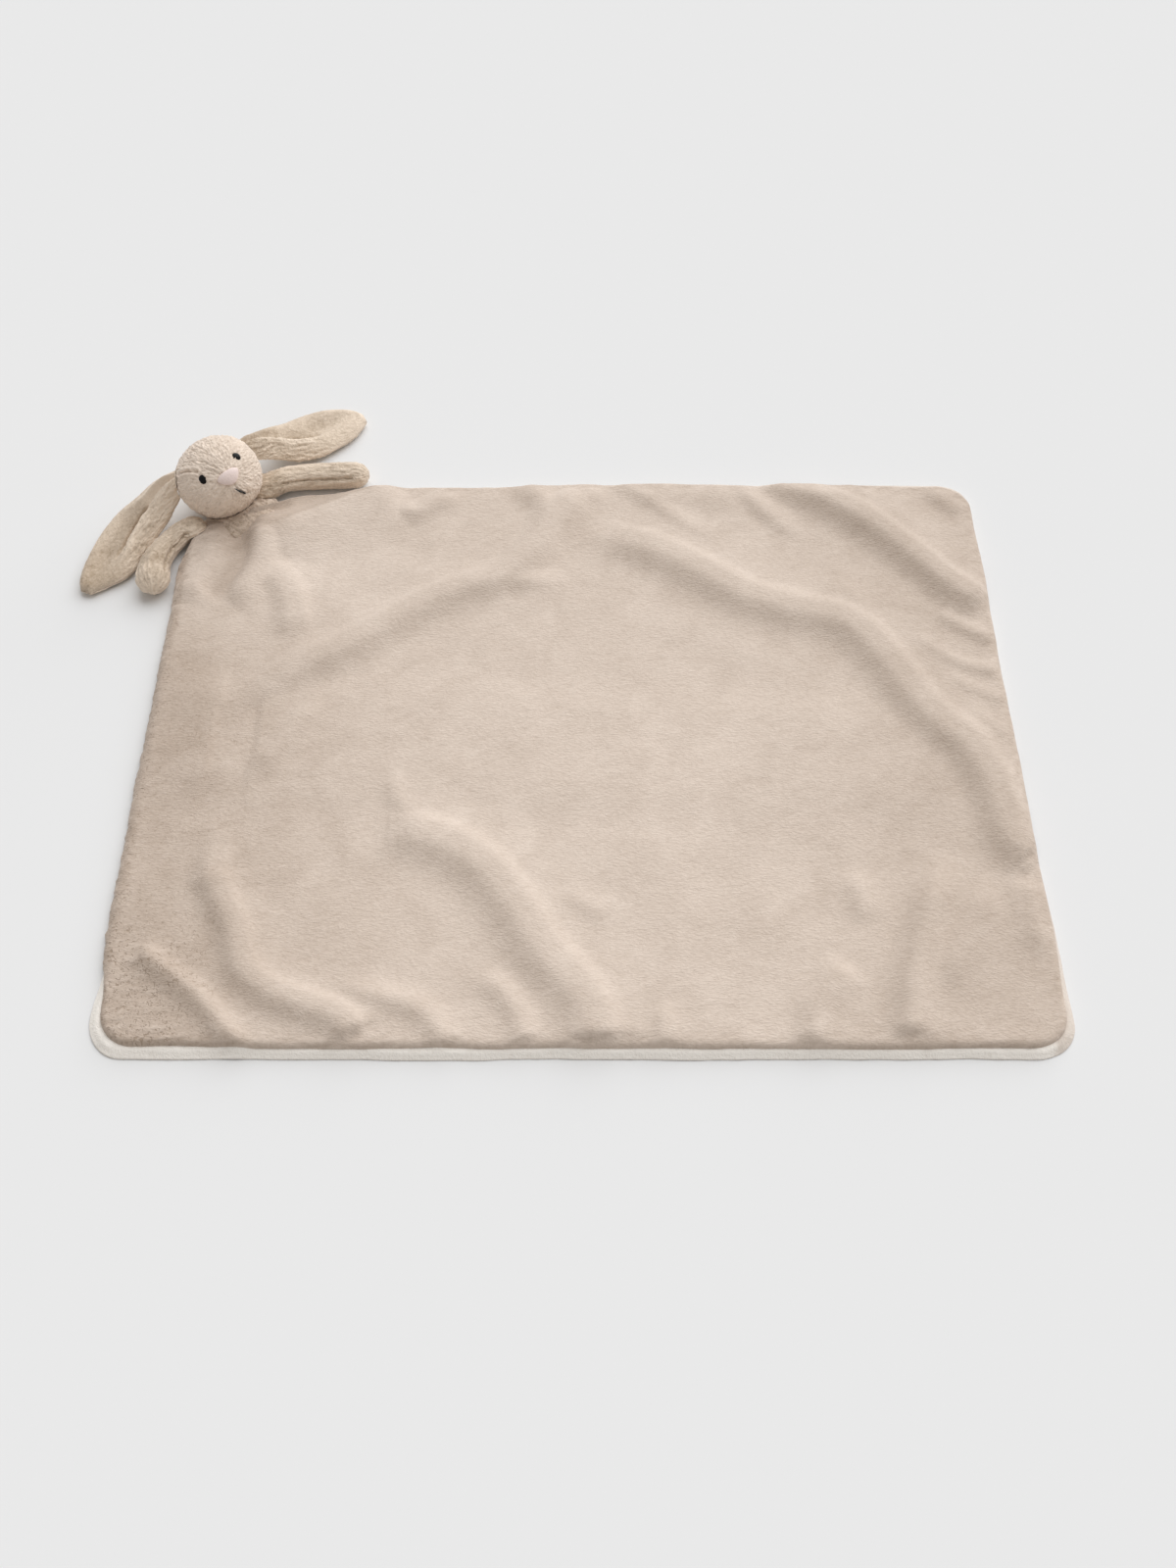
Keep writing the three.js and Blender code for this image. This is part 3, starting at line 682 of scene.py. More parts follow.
@functools.lru_cache
def back_plush_material():
    settings = blanket_settings()
    values = {"Grain Depth": 0.35, "Patch Depth": 0.25, "Fur Depth": 0.8, "Patch Scale": 60.0}
    return plush_material("Back plush", settings.back_colour, settings.back_shade, values)


FUR_VALUES = {
    "Grain Depth": 0.6,
    "Patch Depth": 0.4,
    "Fur Depth": 0.8,
    "Grain Scale": 900.0,
    "Tuft Scale": 420.0,
    "Patch Scale": 60.0,
    "Lie": (0.6, 0.6, 1),
}


@functools.lru_cache
def fur_material():
    settings = bunny_settings()
    return plush_material("Head fur", settings.fur_colour, settings.fur_shade, FUR_VALUES)


@functools.lru_cache
def limb_material():
    settings = bunny_settings()
    return plush_material("Limb fur", settings.limb_colour, settings.limb_shade, FUR_VALUES)


# Blanket


class Ridge:
    """A fold of the laid cloth

    Its crest runs through places given as shares of the half width and half depth. The far side is the
    lit one and lies on the left of the run.
    """

    def __init__(self, rise, near, far, crest_shares, fades=(0.2, 0.2)):
        self.rise = rise * MM
        self.near = near * MM
        self.far = far * MM
        self.crest_shares = crest_shares
        self.fades = fades


RIDGES = [
    # The long fold from the far edge down to the right edge
    Ridge(
        8.5,
        16,
        46,
        [
            (-0.02, 0.80), (0.095, 0.725), (0.20, 0.665), (0.30, 0.58), (0.40, 0.49), (0.53, 0.43),
            (0.61, 0.40), (0.66, 0.355), (0.70, 0.28), (0.74, 0.19), (0.775, 0.095), (0.825, 0.007),
            (0.875, -0.065), (0.915, -0.20), (0.935, -0.36), (0.99, -0.46),
        ],
        (0.12, 0.04),
    ),
    Ridge(
        3.5,
        10,
        12,
        [(0.61, 0.60), (0.67, 0.48), (0.72, 0.34), (0.775, 0.21), (0.84, 0.09), (0.92, -0.02), (0.97, -0.10)],
        (0.15, 0.2),
    ),
    # The fold across the far right corner, and the smaller ones beside it
    Ridge(
        10,
        14,
        38,
        [
            (0.46, 1.03), (0.55, 0.95), (0.62, 0.893), (0.683, 0.835), (0.735, 0.774), (0.784, 0.705),
            (0.836, 0.63), (0.885, 0.555), (0.985, 0.44),
        ],
        (0.08, 0.05),
    ),
    Ridge(4, 9, 16, [(0.10, 1.01), (0.165, 0.92), (0.24, 0.82), (0.33, 0.735), (0.41, 0.68)], (0.1, 0.5)),
    Ridge(4, 9, 16, [(0.385, 1.01), (0.42, 0.93), (0.46, 0.86), (0.52, 0.78), (0.58, 0.72)], (0.1, 0.5)),
    Ridge(4, 9, 10, [(0.68, 0.99), (0.72, 0.93), (0.77, 0.87)], (0.1, 0.5)),
    Ridge(4.5, 34, 10, [(0.10, 0.985), (0.22, 0.99), (0.34, 0.985), (0.48, 0.985)], (0.3, 0.3)),
    Ridge(3, 9, 12, [(0.88, 0.97), (0.93, 0.89), (0.97, 0.84)], (0.2, 0.3)),
    # The folds from the far edge down to the left
    Ridge(
        8,
        14,
        28,
        [
            (-0.86, 0.02), (-0.79, 0.075), (-0.729, 0.137), (-0.651, 0.219), (-0.574, 0.277), (-0.497, 0.345),
            (-0.443, 0.398), (-0.385, 0.452), (-0.29, 0.52), (-0.20, 0.57), (-0.13, 0.655), (-0.065, 0.775),
            (-0.01, 0.90), (0.03, 1.0),
        ],
        (0.3, 0.1),
    ),
    Ridge(4.5, 10, 16, [(-0.33, 0.51), (-0.24, 0.54), (-0.14, 0.56), (-0.02, 0.565)], (0.25, 0.35)),
    Ridge(
        6,
        15,
        16,
        [(-0.14, 1.0), (-0.105, 0.92), (-0.085, 0.855), (-0.10, 0.78), (-0.15, 0.70)],
        (0.1, 0.5),
    ),
    Ridge(
        5,
        14,
        14,
        [(-0.76, -0.17), (-0.711, -0.104), (-0.657, -0.007), (-0.614, 0.08), (-0.546, 0.146)],
        (0.3, 0.4),
    ),
    Ridge(5, 10, 12, [(-0.47, 0.93), (-0.425, 0.845), (-0.36, 0.885), (-0.28, 0.94)], (0.3, 0.3)),
    Ridge(4, 11, 12, [(0.0, 1.0), (0.03, 0.93), (0.05, 0.86)], (0.1, 0.5)),
    # The hollows below the bunny
    Ridge(
        6,
        13,
        45,
        [(-0.79, 0.60), (-0.75, 0.57), (-0.72, 0.52), (-0.70, 0.44), (-0.68, 0.30)],
        (0.25, 0.2),
    ),
    Ridge(
        7,
        14,
        34,
        [(-0.80, 0.80), (-0.80, 0.67), (-0.815, 0.61), (-0.85, 0.525), (-0.873, 0.485)],
        (0.1, 0.35),
    ),
    Ridge(6.5, 20, 15, [(-0.93, 0.80), (-0.92, 0.67), (-0.94, 0.55), (-0.96, 0.46)], (0.2, 0.3)),
    Ridge(4, 44, 40, [(-0.82, 0.25), (-0.83, 0.0), (-0.84, -0.3)], (0.3, 0.3)),
    # The folds over the near left corner
    Ridge(
        7.5,
        11,
        22,
        [
            (-0.781, -0.27), (-0.793, -0.47), (-0.778, -0.528), (-0.726, -0.658), (-0.70, -0.763),
            (-0.643, -0.832), (-0.553, -0.879), (-0.49, -0.911), (-0.458, -0.962),
        ],
        (0.2, 0.04),
    ),
    Ridge(
        6.5,
        10,
        7.5,
        [
            (-0.93, -0.70), (-0.877, -0.748), (-0.827, -0.796), (-0.781, -0.843), (-0.74, -0.895),
            (-0.697, -0.96), (-0.67, -1.0),
        ],
        (0.12, 0.04),
    ),
    Ridge(
        4,
        9,
        12,
        [(-0.55, -0.79), (-0.45, -0.835), (-0.345, -0.87), (-0.29, -0.925), (-0.27, -0.98)],
        (0.3, 0.04),
    ),
    Ridge(4, 9, 12, [(-0.245, -0.78), (-0.175, -0.815), (-0.13, -0.885), (-0.11, -0.97)], (0.4, 0.04)),
    # The fold through the near half and the ripples along the near edge
    Ridge(
        8,
        17,
        32,
        [
            (-0.45, -0.36), (-0.352, -0.37), (-0.267, -0.415), (-0.202, -0.485), (-0.152, -0.57),
            (-0.107, -0.665), (-0.064, -0.75), (-0.017, -0.82), (0.018, -0.90), (0.028, -0.98),
        ],
        (0.12, 0.04),
    ),
    Ridge(3, 9, 14, [(-0.42, -0.10), (-0.41, -0.22), (-0.36, -0.31)], (0.4, 0.2)),
    Ridge(2.5, 9, 14, [(-0.06, -0.56), (0.015, -0.58), (0.06, -0.635)], (0.4, 0.4)),
    Ridge(3, 8, 10, [(0.175, -0.85), (0.17, -0.98)], (0.5, 0.05)),
    Ridge(5, 11, 16, [(0.565, -0.74), (0.53, -0.80), (0.485, -0.885), (0.47, -0.98)], (0.3, 0.05)),
    Ridge(3.5, 10, 16, [(0.59, -0.45), (0.597, -0.55), (0.61, -0.65)], (0.4, 0.4)),
    Ridge(
        7.5,
        12,
        18,
        [(0.79, -0.40), (0.767, -0.51), (0.735, -0.61), (0.71, -0.705), (0.685, -0.815), (0.665, -0.97)],
        (0.35, 0.05),
    ),
    Ridge(
        4,
        12,
        18,
        [(0.89, -0.47), (0.85, -0.58), (0.805, -0.67), (0.77, -0.76), (0.755, -0.88)],
        (0.3, 0.3),
    ),
    Ridge(4, 14, 10, [(0.975, -0.48), (0.96, -0.60), (0.975, -0.75)], (0.3, 0.3)),
    # The ripples along the right edge
    Ridge(3.2, 7, 9, [(0.78, 0.40), (0.83, 0.30), (0.90, 0.235), (0.985, 0.21)], (0.3, 0.05)),
    Ridge(3, 7, 9, [(0.84, 0.45), (0.92, 0.375), (0.985, 0.33)], (0.3, 0.05)),
    Ridge(3, 7, 9, [(0.85, 0.21), (0.91, 0.145), (0.985, 0.10)], (0.3, 0.05)),
    Ridge(3, 7, 9, [(0.88, 0.09), (0.93, 0.03), (0.99, -0.04)], (0.3, 0.05)),
]

# From the bunny's chest to the far edge, behind which the cloth falls away to the arm
CHEST_RIDGE = Ridge(
    9,
    44,
    13,
    [
        (-0.86, 0.72), (-0.80, 0.755), (-0.76, 0.778), (-0.705, 0.815), (-0.65, 0.853), (-0.578, 0.902),
        (-0.50, 0.95), (-0.44, 0.985),
    ],
    (0.4, 0.2),
)

# Hollows that are pressed into the cloth below the bunny's chin and beside its chest
HOLLOWS = [
    Ridge(
        8,
        12,
        12,
        [(-0.85, 0.82), (-0.845, 0.70), (-0.852, 0.63), (-0.872, 0.56), (-0.90, 0.48)],
        (0.02, 0.2),
    ),
    Ridge(
        5,
        4,
        4,
        [(-0.84, 0.81), (-0.809, 0.834), (-0.791, 0.851), (-0.763, 0.868), (-0.735, 0.89)],
        (0.1, 0.15),
    ),
    Ridge(2.5, 4, 4, [(-0.935, 0.84), (-0.933, 0.81), (-0.925, 0.785)], (0.1, 0.5)),
    Ridge(2, 6, 6, [(-0.865, 0.81), (-0.872, 0.76), (-0.868, 0.71)], (0.1, 0.5)),
]

# The lit side of a fold first drops by a small lip and then falls away gently
LIP_SHARE = 0.38
LIP_SPREAD = 10 * MM
WIDE_FOLD = 20 * MM

RASTER_STEP = 3 * MM
SWELL_SIZE = 95 * MM
SWELL_RISE = 1.3 * MM
NEAR_EDGE_CALM = 16 * MM
SIDE_EDGE_CALM = 14 * MM

# The bunny's chest lifts the cloth over it
CHEST_RISE = 8.5 * MM
CHEST_ASIDE = 2 * MM
CHEST_SPREAD_X = 34 * MM


def ridge_lift(ridge, x, y):
    shares = course(ridge.crest_shares, 64)
    crest = shares * (HALF_WIDTH, HALF_DEPTH)
    tangent = unit(np.gradient(crest, axis=0))
    spacing = np.linalg.norm(np.diff(crest, axis=0), axis=1).max() / 2
    gap_x = x.ravel()[:, None] - crest[None, :, 0]
    gap_y = y.ravel()[:, None] - crest[None, :, 1]
    nearest = np.argmin(gap_x**2 + gap_y**2, axis=1)
    rows = np.arange(len(nearest))
    gap_x, gap_y = gap_x[rows, nearest], gap_y[rows, nearest]
    along = gap_x * tangent[nearest, 0] + gap_y * tangent[nearest, 1]
    across = gap_y * tangent[nearest, 0] - gap_x * tangent[nearest, 1]
    beyond = np.maximum(0, np.abs(along) - spacing)
    distance = np.hypot(across, beyond)
    share = nearest / (len(crest) - 1)
    start, end = ridge.fades
    rise = ridge.rise * smooth(0, start, share + 1e-6) * smooth(0, end, 1 - share + 1e-6)
    if ridge.far > WIDE_FOLD:
        lip = smooth(1.6 * min(ridge.near, WIDE_FOLD), 0.75 * ridge.near, distance)
    else:
        lip = hump(distance, min(LIP_SPREAD, ridge.far))
    lit = LIP_SHARE * lip + (1 - LIP_SHARE) * hump(distance, ridge.far)
    profile = np.where(across > 0, lit, hump(distance, ridge.near))
    return (rise * profile).reshape(x.shape)


@functools.lru_cache
def relief_raster():
    """Height of the laid cloth, with the swelling over the bunny's chest, on a square raster"""
    xs = np.arange(-HALF_WIDTH - 4 * RASTER_STEP, HALF_WIDTH + 5 * RASTER_STEP, RASTER_STEP)
    ys = np.arange(-HALF_DEPTH - 4 * RASTER_STEP, HALF_DEPTH + 5 * RASTER_STEP, RASTER_STEP)
    x, y = np.meshgrid(xs, ys)
    lifts = np.zeros_like(x)
    for ridge in RIDGES:
        lifts += ridge_lift(ridge, x, y) ** 3
    height = np.cbrt(lifts)
    flat = np.stack([x, y, np.zeros_like(x)], -1).reshape(-1, 3)
    swell = noise_at(flat, SWELL_SIZE, 3.7) + 0.5 * noise_at(flat, SWELL_SIZE / 2.3, 8.1)
    height += SWELL_RISE * np.maximum(0, swell.reshape(x.shape) + 0.3)
    calm = smooth(0, NEAR_EDGE_CALM, y + HALF_DEPTH) * 0.85 + 0.15
    calm *= smooth(0, SIDE_EDGE_CALM, HALF_WIDTH - np.abs(x)) * 0.6 + 0.4
    calm *= smooth(0, 2 * SIDE_EDGE_CALM, HALF_DEPTH - y) * 0.7 + 0.3
    height *= calm * blanket_settings().fold_height
    height = np.maximum(height, ridge_lift(CHEST_RIDGE, x, y))
    toy_x, toy_y = to_toy(x, y)
    chest = CHEST_RISE * hump(toy_x + CHEST_ASIDE, CHEST_SPREAD_X) * smooth(-75 * MM, -16 * MM, toy_y)
    height += chest * (1 - height / (40 * MM))
    for hollow in HOLLOWS:
        height -= ridge_lift(hollow, x, y)
    return xs, ys, np.maximum(height, 0)


def cloth_lift(x, y):
    """Height of the laid cloth's underside above the floor"""
    xs, ys, height = relief_raster()
    column = np.clip((x - xs[0]) / RASTER_STEP, 0, len(xs) - 1.001)
    row = np.clip((y - ys[0]) / RASTER_STEP, 0, len(ys) - 1.001)
    i, j = column.astype(int), row.astype(int)
    s, t = column - i, row - j
    low = height[j, i] * (1 - s) + height[j, i + 1] * s
    high = height[j + 1, i] * (1 - s) + height[j + 1, i + 1] * s
    return low * (1 - t) + high * t


def to_toy(x, y):
    """Places of the blanket's frame in the toy's frame"""
    dx, dy = x - toy_place.x, y - toy_place.y
    cosine, sine = math.cos(TOY_TURN), math.sin(TOY_TURN)
    return dx * cosine + dy * sine, dy * cosine - dx * sine


def in_toy(way):
    """A direction of the toy's frame as one of the blanket's"""
    return toy_matrix.to_3x3() @ Vector(way)


def from_toy(toy_x, toy_y):
    cosine, sine = math.cos(TOY_TURN), math.sin(TOY_TURN)
    return toy_place.x + toy_x * cosine - toy_y * sine, toy_place.y + toy_x * sine + toy_y * cosine


# The cloth's corner is gathered into the bunny's neck along this line of the toy's frame
NECK_LINE = np.array([(-90, -4), (-60, 0), (-45, 4), (-26, 8), (0, 2), (18, -7), (55, -7), (90, -9)]) * MM
GATHER_DEPTH = 20 * MM


def neck_line(toy_x):
    line = course(NECK_LINE, 80)
    return np.interp(toy_x, line[:, 0], line[:, 1])


def far_draw(x):
    """How far the far edge is drawn in, more beside the bunny's arm"""
    share = -x / HALF_WIDTH
    return FAR_EDGE_DRAW * smooth(-0.2, 0.48, share) + FAR_EDGE_DRAW_AT_ARM * smooth(0.42, 0.6, share)


def gathered(x, y):
    """Draws the far edge in and gathers the bunny's corner to the neck"""
    across = np.clip(y / (2 * HALF_DEPTH) + 0.5, 0, 1)
    y = y - far_draw(x) * across**2
    toy_x, toy_y = to_toy(x, y)
    start = neck_line(toy_x) - GATHER_DEPTH
    over = np.maximum(0, toy_y - start)
    drawn = start + GATHER_DEPTH * (1 - np.exp(-over / GATHER_DEPTH))
    near_toy = toy_x < 95 * MM
    toy_y = np.where((toy_y > start) & near_toy, drawn, toy_y)
    return from_toy(toy_x, toy_y)


def rounded(x, y, half_x, half_y, radius):
    """Rounds the corners of a rectangle's grid of points"""
    over_x, over_y = np.abs(x) - (half_x - radius), np.abs(y) - (half_y - radius)
    corner = (over_x > 0) & (over_y > 0)
    share = np.maximum(over_x, over_y) / np.maximum(np.hypot(over_x, over_y), 1e-9)
    new_x = np.where(corner, np.sign(x) * (half_x - radius + over_x * share), x)
    new_y = np.where(corner, np.sign(y) * (half_y - radius + over_y * share), y)
    return new_x, new_y


def grid_lines(half, insets, step):
    inner = half - insets[-1]
    count = int(round(2 * inner / step))
    middle = np.linspace(-inner, inner, count + 1)
    low = -half + np.array(insets[:-1])
    return np.concatenate([low, middle, -low[::-1]])


EDGE_WAVE = 1.3 * MM
EDGE_WAVE_SIZE = 60 * MM


def edge_wave(x, y, seed):
    """Small sideways unevenness of the sewn edge"""
    flat = np.stack([x, y, np.zeros_like(x)], -1).reshape(-1, 3)
    first = noise_at(flat, EDGE_WAVE_SIZE, seed)
    second = noise_at(flat, EDGE_WAVE_SIZE / 3, seed + 5)
    return (EDGE_WAVE * (first + 0.4 * second)).reshape(x.shape)


def over_left(x, y):
    """1 where the front plush rolls over the left edge and hides the rim, 0 elsewhere"""
    beside = smooth(-HALF_WIDTH + 60 * MM, -HALF_WIDTH + 30 * MM, x)
    return beside * smooth(-HALF_DEPTH + 26 * MM, -HALF_DEPTH + 92 * MM, y)


RIM_CORNER = 8.4 * MM
RIM_NEAR = 6.4 * MM
RIM_RIGHT = 1.5 * MM
RIM_FAR = 4.6 * MM
RIM_FAR_RIGHT = 7.4 * MM
RIM_EDGE = 0.9 * MM
RIM_MIDDLE = 0.5 * MM
RIM_NEAR_RIGHT = 3.5 * MM
DRAW_IN = 90 * MM
TUFT_REACH = 1.3 * MM
RIGHT_BULGE = 4 * MM
NEAR_BULGE = 1.3 * MM
RIM_TURN = 8 * MM
ROLL = 4.5 * MM
LEFT_ROLL = 9 * MM
CLOTH_GAP = 0.3 * MM
HEAD_GAP = 0.8 * MM
FLOOR_GAP = 0.1 * MM

# The chest's half sizes and middle in the toy's frame, and where it shows beyond the cloth's edge
CHEST_HALF = Vector((36 * MM, 24 * MM, 9.5 * MM))
CHEST_CENTRE = Vector((0, -3 * MM, 6.5 * MM))
CHEST_OVERLAY = 3.5 * MM
CHEST_SHOWS_TO = 3 * MM
CHEST_SHOWS_ON = 14 * MM


def rim_widths(x, y):
    """How far the rim shows beyond the front plush on the left, right, near and far side"""
    corner = smooth(-0.5, -0.85, x / HALF_WIDTH)
    left = RIM_CORNER * (1 - over_left(-HALF_WIDTH + 0 * x, y))
    right = RIM_RIGHT + RIM_NEAR_RIGHT * smooth(-0.4, -0.9, y / HALF_DEPTH)
    near = RIM_NEAR + (RIM_CORNER - RIM_NEAR) * corner
    far = RIM_FAR + (RIM_FAR_RIGHT - RIM_FAR) * smooth(0.1, 0.45, x / HALF_WIDTH)
    return left, right, near, far


def bulged(x, y):
    """Lets the near edge stand out, and the right edge towards the near corner"""
    new_x = x + RIGHT_BULGE * smooth(-0.3, -0.8, y / HALF_DEPTH) * smooth(0.8, 1, x / HALF_WIDTH)
    return new_x, y - NEAR_BULGE * smooth(-0.9, -1, y / HALF_DEPTH)


def rim_at(x, y):
    """How far the rim shows at the side of the blanket that a place is nearest to"""
    gaps = (HALF_WIDTH + x, HALF_WIDTH - x, HALF_DEPTH + y, HALF_DEPTH - y)
    weights = [np.exp(-gap / RIM_TURN) for gap in gaps]
    shown = sum(weight * width for weight, width in zip(weights, rim_widths(x, y)))
    return shown / sum(weights)


def under_head(x, y):
    """Height of the underside of the head over a place on the floor"""
    centre = head_matrix.translation
    reach = HEAD_RADIUS + 1.2 * MM
    aside = np.hypot(x - centre.x, y - centre.y)
    return np.where(aside < reach, centre.z - np.sqrt(np.maximum(0, reach**2 - aside**2)), 1.0)


def chest_height(toy_x, toy_y):
    """Height of the top of the bunny's chest, and a great height beside it"""
    across = (toy_x - CHEST_CENTRE.x) / CHEST_HALF.x
    along = (toy_y - CHEST_CENTRE.y) / CHEST_HALF.y
    inside = 1 - across**2 - along**2
    return np.where(inside > 0.02, CHEST_CENTRE.z + CHEST_HALF.z * np.sqrt(np.maximum(0, inside)), 1.0)


def ceiling(x, y):
    """Greatest height of the blanket, under the head and under the upper part of the chest"""
    toy_x, toy_y = to_toy(x, y)
    chest = chest_height(toy_x, toy_y) - CHEST_OVERLAY
    shows_to = CHEST_SHOWS_TO - CHEST_SHOWS_ON * smooth(2 * MM, 14 * MM, toy_x)
    chest = chest + CHEST_RISE * 2 * smooth(shows_to + 5 * MM, shows_to - 5 * MM, toy_y)
    return np.minimum(under_head(x, y) - HEAD_GAP, chest)


def cloth_top(x, y):
    """Height of the top of the blanket away from its edges"""
    settings = blanket_settings()
    full = cloth_lift(x, y) + settings.back_pile + CLOTH_GAP + settings.pile
    return np.minimum(full, ceiling(x, y))


def front_plush():
    settings = blanket_settings()
    insets = np.array([0, 0.5, 1.2, 2.1, 3.3, 4.8, 6.6, 9, 11.8]) * MM
    xs = grid_lines(HALF_WIDTH, insets, settings.grid_step)
    ys = grid_lines(HALF_DEPTH, insets, settings.grid_step)
    grid_x, grid_y = np.meshgrid(xs, ys)
    inset = np.minimum(HALF_WIDTH - np.abs(grid_x), HALF_DEPTH - np.abs(grid_y))
    x, y = rounded(grid_x, grid_y, HALF_WIDTH, HALF_DEPTH, CORNER_RADIUS)
    left, right, near, far = rim_widths(x, y)
    x = x + (left + 0.8 * MM) * smooth(-HALF_WIDTH + DRAW_IN, -HALF_WIDTH, x)
    x, y = bulged(x, y)
    x = x - right * smooth(HALF_WIDTH - DRAW_IN, HALF_WIDTH, x)
    y = y + near * smooth(-HALF_DEPTH + DRAW_IN, -HALF_DEPTH, y)
    y = y - far * smooth(HALF_DEPTH - DRAW_IN, HALF_DEPTH, y)
    lefty = over_left(grid_x, y)
    wave = edge_wave(x, y, 11.3) * hump(inset, 8 * MM)
    tuft = edge_tufts(x, y) * hump(inset, 4 * MM)
    x = x + (wave + tuft * lefty) * np.sign(x)
    y = y + wave * np.sign(y)
    x, y = gathered(x, y)
    base = settings.back_pile + CLOTH_GAP
    edge = (base + 0.3 * MM) * (1 - lefty) + 1.0 * MM * lefty
    roll = ROLL * (1 - lefty) + LEFT_ROLL * lefty
    arch = np.sqrt(1 - (1 - np.clip(inset / roll, 0, 1)) ** 2)
    lift = cloth_lift(x, y)
    full = base + settings.pile
    top = np.minimum(lift + edge + (full - edge) * arch, ceiling(x, y))
    bottom = lift + base * smooth(0, 1, inset / (10 * MM) + 1 - lefty) + 0.5 * MM * lefty
    bottom = np.maximum(np.minimum(bottom, top - 0.4 * MM), 0.3 * MM)
    top = np.maximum(top, bottom + 0.4 * MM)
    rest = np.stack([grid_x, grid_y, 0 * grid_x], -1)
    upper, lower = np.stack([x, y, top], -1), np.stack([x, y, bottom], -1)
    fur, ruffle = front_fur(upper, inset, lefty)
    piece = slab("front_plush", upper, lower)
    keep_rest(piece, np.vstack([rest.reshape(-1, 3)] * 2))
    keep_value(piece, "fur", np.concatenate([fur.ravel(), fur.ravel() * 0 + 0.5]))
    keep_value(piece, "ruffle", np.tile(ruffle.ravel(), 2))
    return piece


def edge_tufts(x, y):
    """Tufts of pile that stand out from the rolled edge"""
    flat = np.stack([x, y, np.zeros_like(x)], -1).reshape(-1, 3)
    return (TUFT_REACH * noise_at(flat, 3.6 * MM, 9.4)).reshape(x.shape)


def behind_chest_ridge(x, y):
    """1 on the far side of the ridge that runs from the chest to the far edge, 0 elsewhere"""
    crest = course(CHEST_RIDGE.crest_shares, 60) * (HALF_WIDTH, HALF_DEPTH)
    line = np.interp(x, crest[:, 0], crest[:, 1])
    share = x / HALF_WIDTH
    return smooth(-1 * MM, 3 * MM, y - line) * smooth(-0.84, -0.77, share) * smooth(-0.47, -0.56, share)


def beside_hollows(x, y):
    """1 in the narrow creases under the chin, 0 elsewhere"""
    creases = [ridge_lift(hollow, x, y) / hollow.rise for hollow in HOLLOWS[1:]]
    return np.clip(sum(creases), 0, 1)


def front_fur(upper, inset, lefty):
    """Brushed clumps, deepest at the edges and on the chest, and the tone with painted light and shade"""
    places = upper.reshape(-1, 3)
    x, y = upper[..., 0], upper[..., 1]
    toy_x, toy_y = to_toy(x, y)
    share_x, share_y = x / HALF_WIDTH, y / HALF_DEPTH
    flow = unit(np.array([[1.0, 0.25, 0.0]]))
    streaks = combed(places, flow, 3.4 * MM, 5 * MM, 4.2, steps=2).reshape(inset.shape)
    broad = noise_at(places, 24 * MM, 5.8).reshape(inset.shape)
    edge = hump(inset, 12 * MM) * (0.3 + 0.7 * lefty)
    corner = smooth(-0.7, -0.92, share_x) * smooth(-0.5, -0.85, share_y)
    chest = smooth(-34 * MM, -14 * MM, toy_y) * hump(toy_x + 6 * MM, 46 * MM)
    deep = np.clip(edge + 0.5 * corner + 0.8 * chest, 0, 1)
    upper[..., 2] += (0.14 * MM + 0.75 * MM * deep) * streaks
    # Painted light in the middle and painted shade towards the sides, deepest over the left side, where the
    # light falls off
    left_side = smooth(-0.35, -0.98, share_x) * smooth(0.5, 0.1, share_y)
    right_side = smooth(0.45, 0.8, share_x)
    middle = hump(share_x - 0.1, 0.5) * hump(share_y + 0.1, 0.8)
    tone_and_painted_light = 0.16 * middle - left_side * (0.36 - 0.22 * broad) - 0.16 * right_side
    tone_and_painted_light -= 0.55 * smooth(-0.8, -0.95, share_x) * hump(share_y - 0.12, 0.2) * (0.8 + broad)
    # Painted shade along every edge, and a jagged strip of it, ragged like curled fur, where the front plush
    # rolls over the left edge
    jagged = noise_at(places, 5 * MM, 2.7).reshape(inset.shape)
    tone_and_painted_light -= 0.1 * hump(inset, 5 * MM) + 0.6 * lefty * hump(inset - 7 * MM, 3.5 * MM) * (0.8 + 0.8 * jagged)
    # Painted shade in the creases round the bunny: behind the chest ridge, in the hollows under the chin and
    # round the chest
    tone_and_painted_light -= 0.65 * behind_chest_ridge(x, y)
    tone_and_painted_light -= 1.0 * beside_hollows(x, y) + 0.45 * ridge_lift(HOLLOWS[0], x, y) / HOLLOWS[0].rise
    tone_and_painted_light -= 0.8 * hump(toy_x + 2 * MM, 30 * MM) * smooth(-42 * MM, -18 * MM, toy_y)
    tone_and_painted_light -= 0.6 * hump(toy_x - 20 * MM, 13 * MM) * hump(toy_y + 31 * MM, 12 * MM)
    # Lighter beside the bunny and towards the near edge, and darker over the near left corner
    tone_and_painted_light += 0.22 * hump(share_x + 0.62, 0.2) * hump(share_y - 0.66, 0.2)
    tone_and_painted_light += 0.05 * hump(share_x - 0.1, 0.5) * smooth(-0.5, -0.9, share_y)
    tone_and_painted_light -= 0.15 * corner * (1 + broad)
    ruffle = 0.05 + 0.5 * corner + 0.5 * lefty * hump(inset, 9 * MM) + 0.3 * chest + 0.12 * left_side
    return np.clip(0.5 + tone_and_painted_light + (0.08 + 0.5 * deep) * streaks, 0, 1), np.clip(ruffle, 0, 0.6)


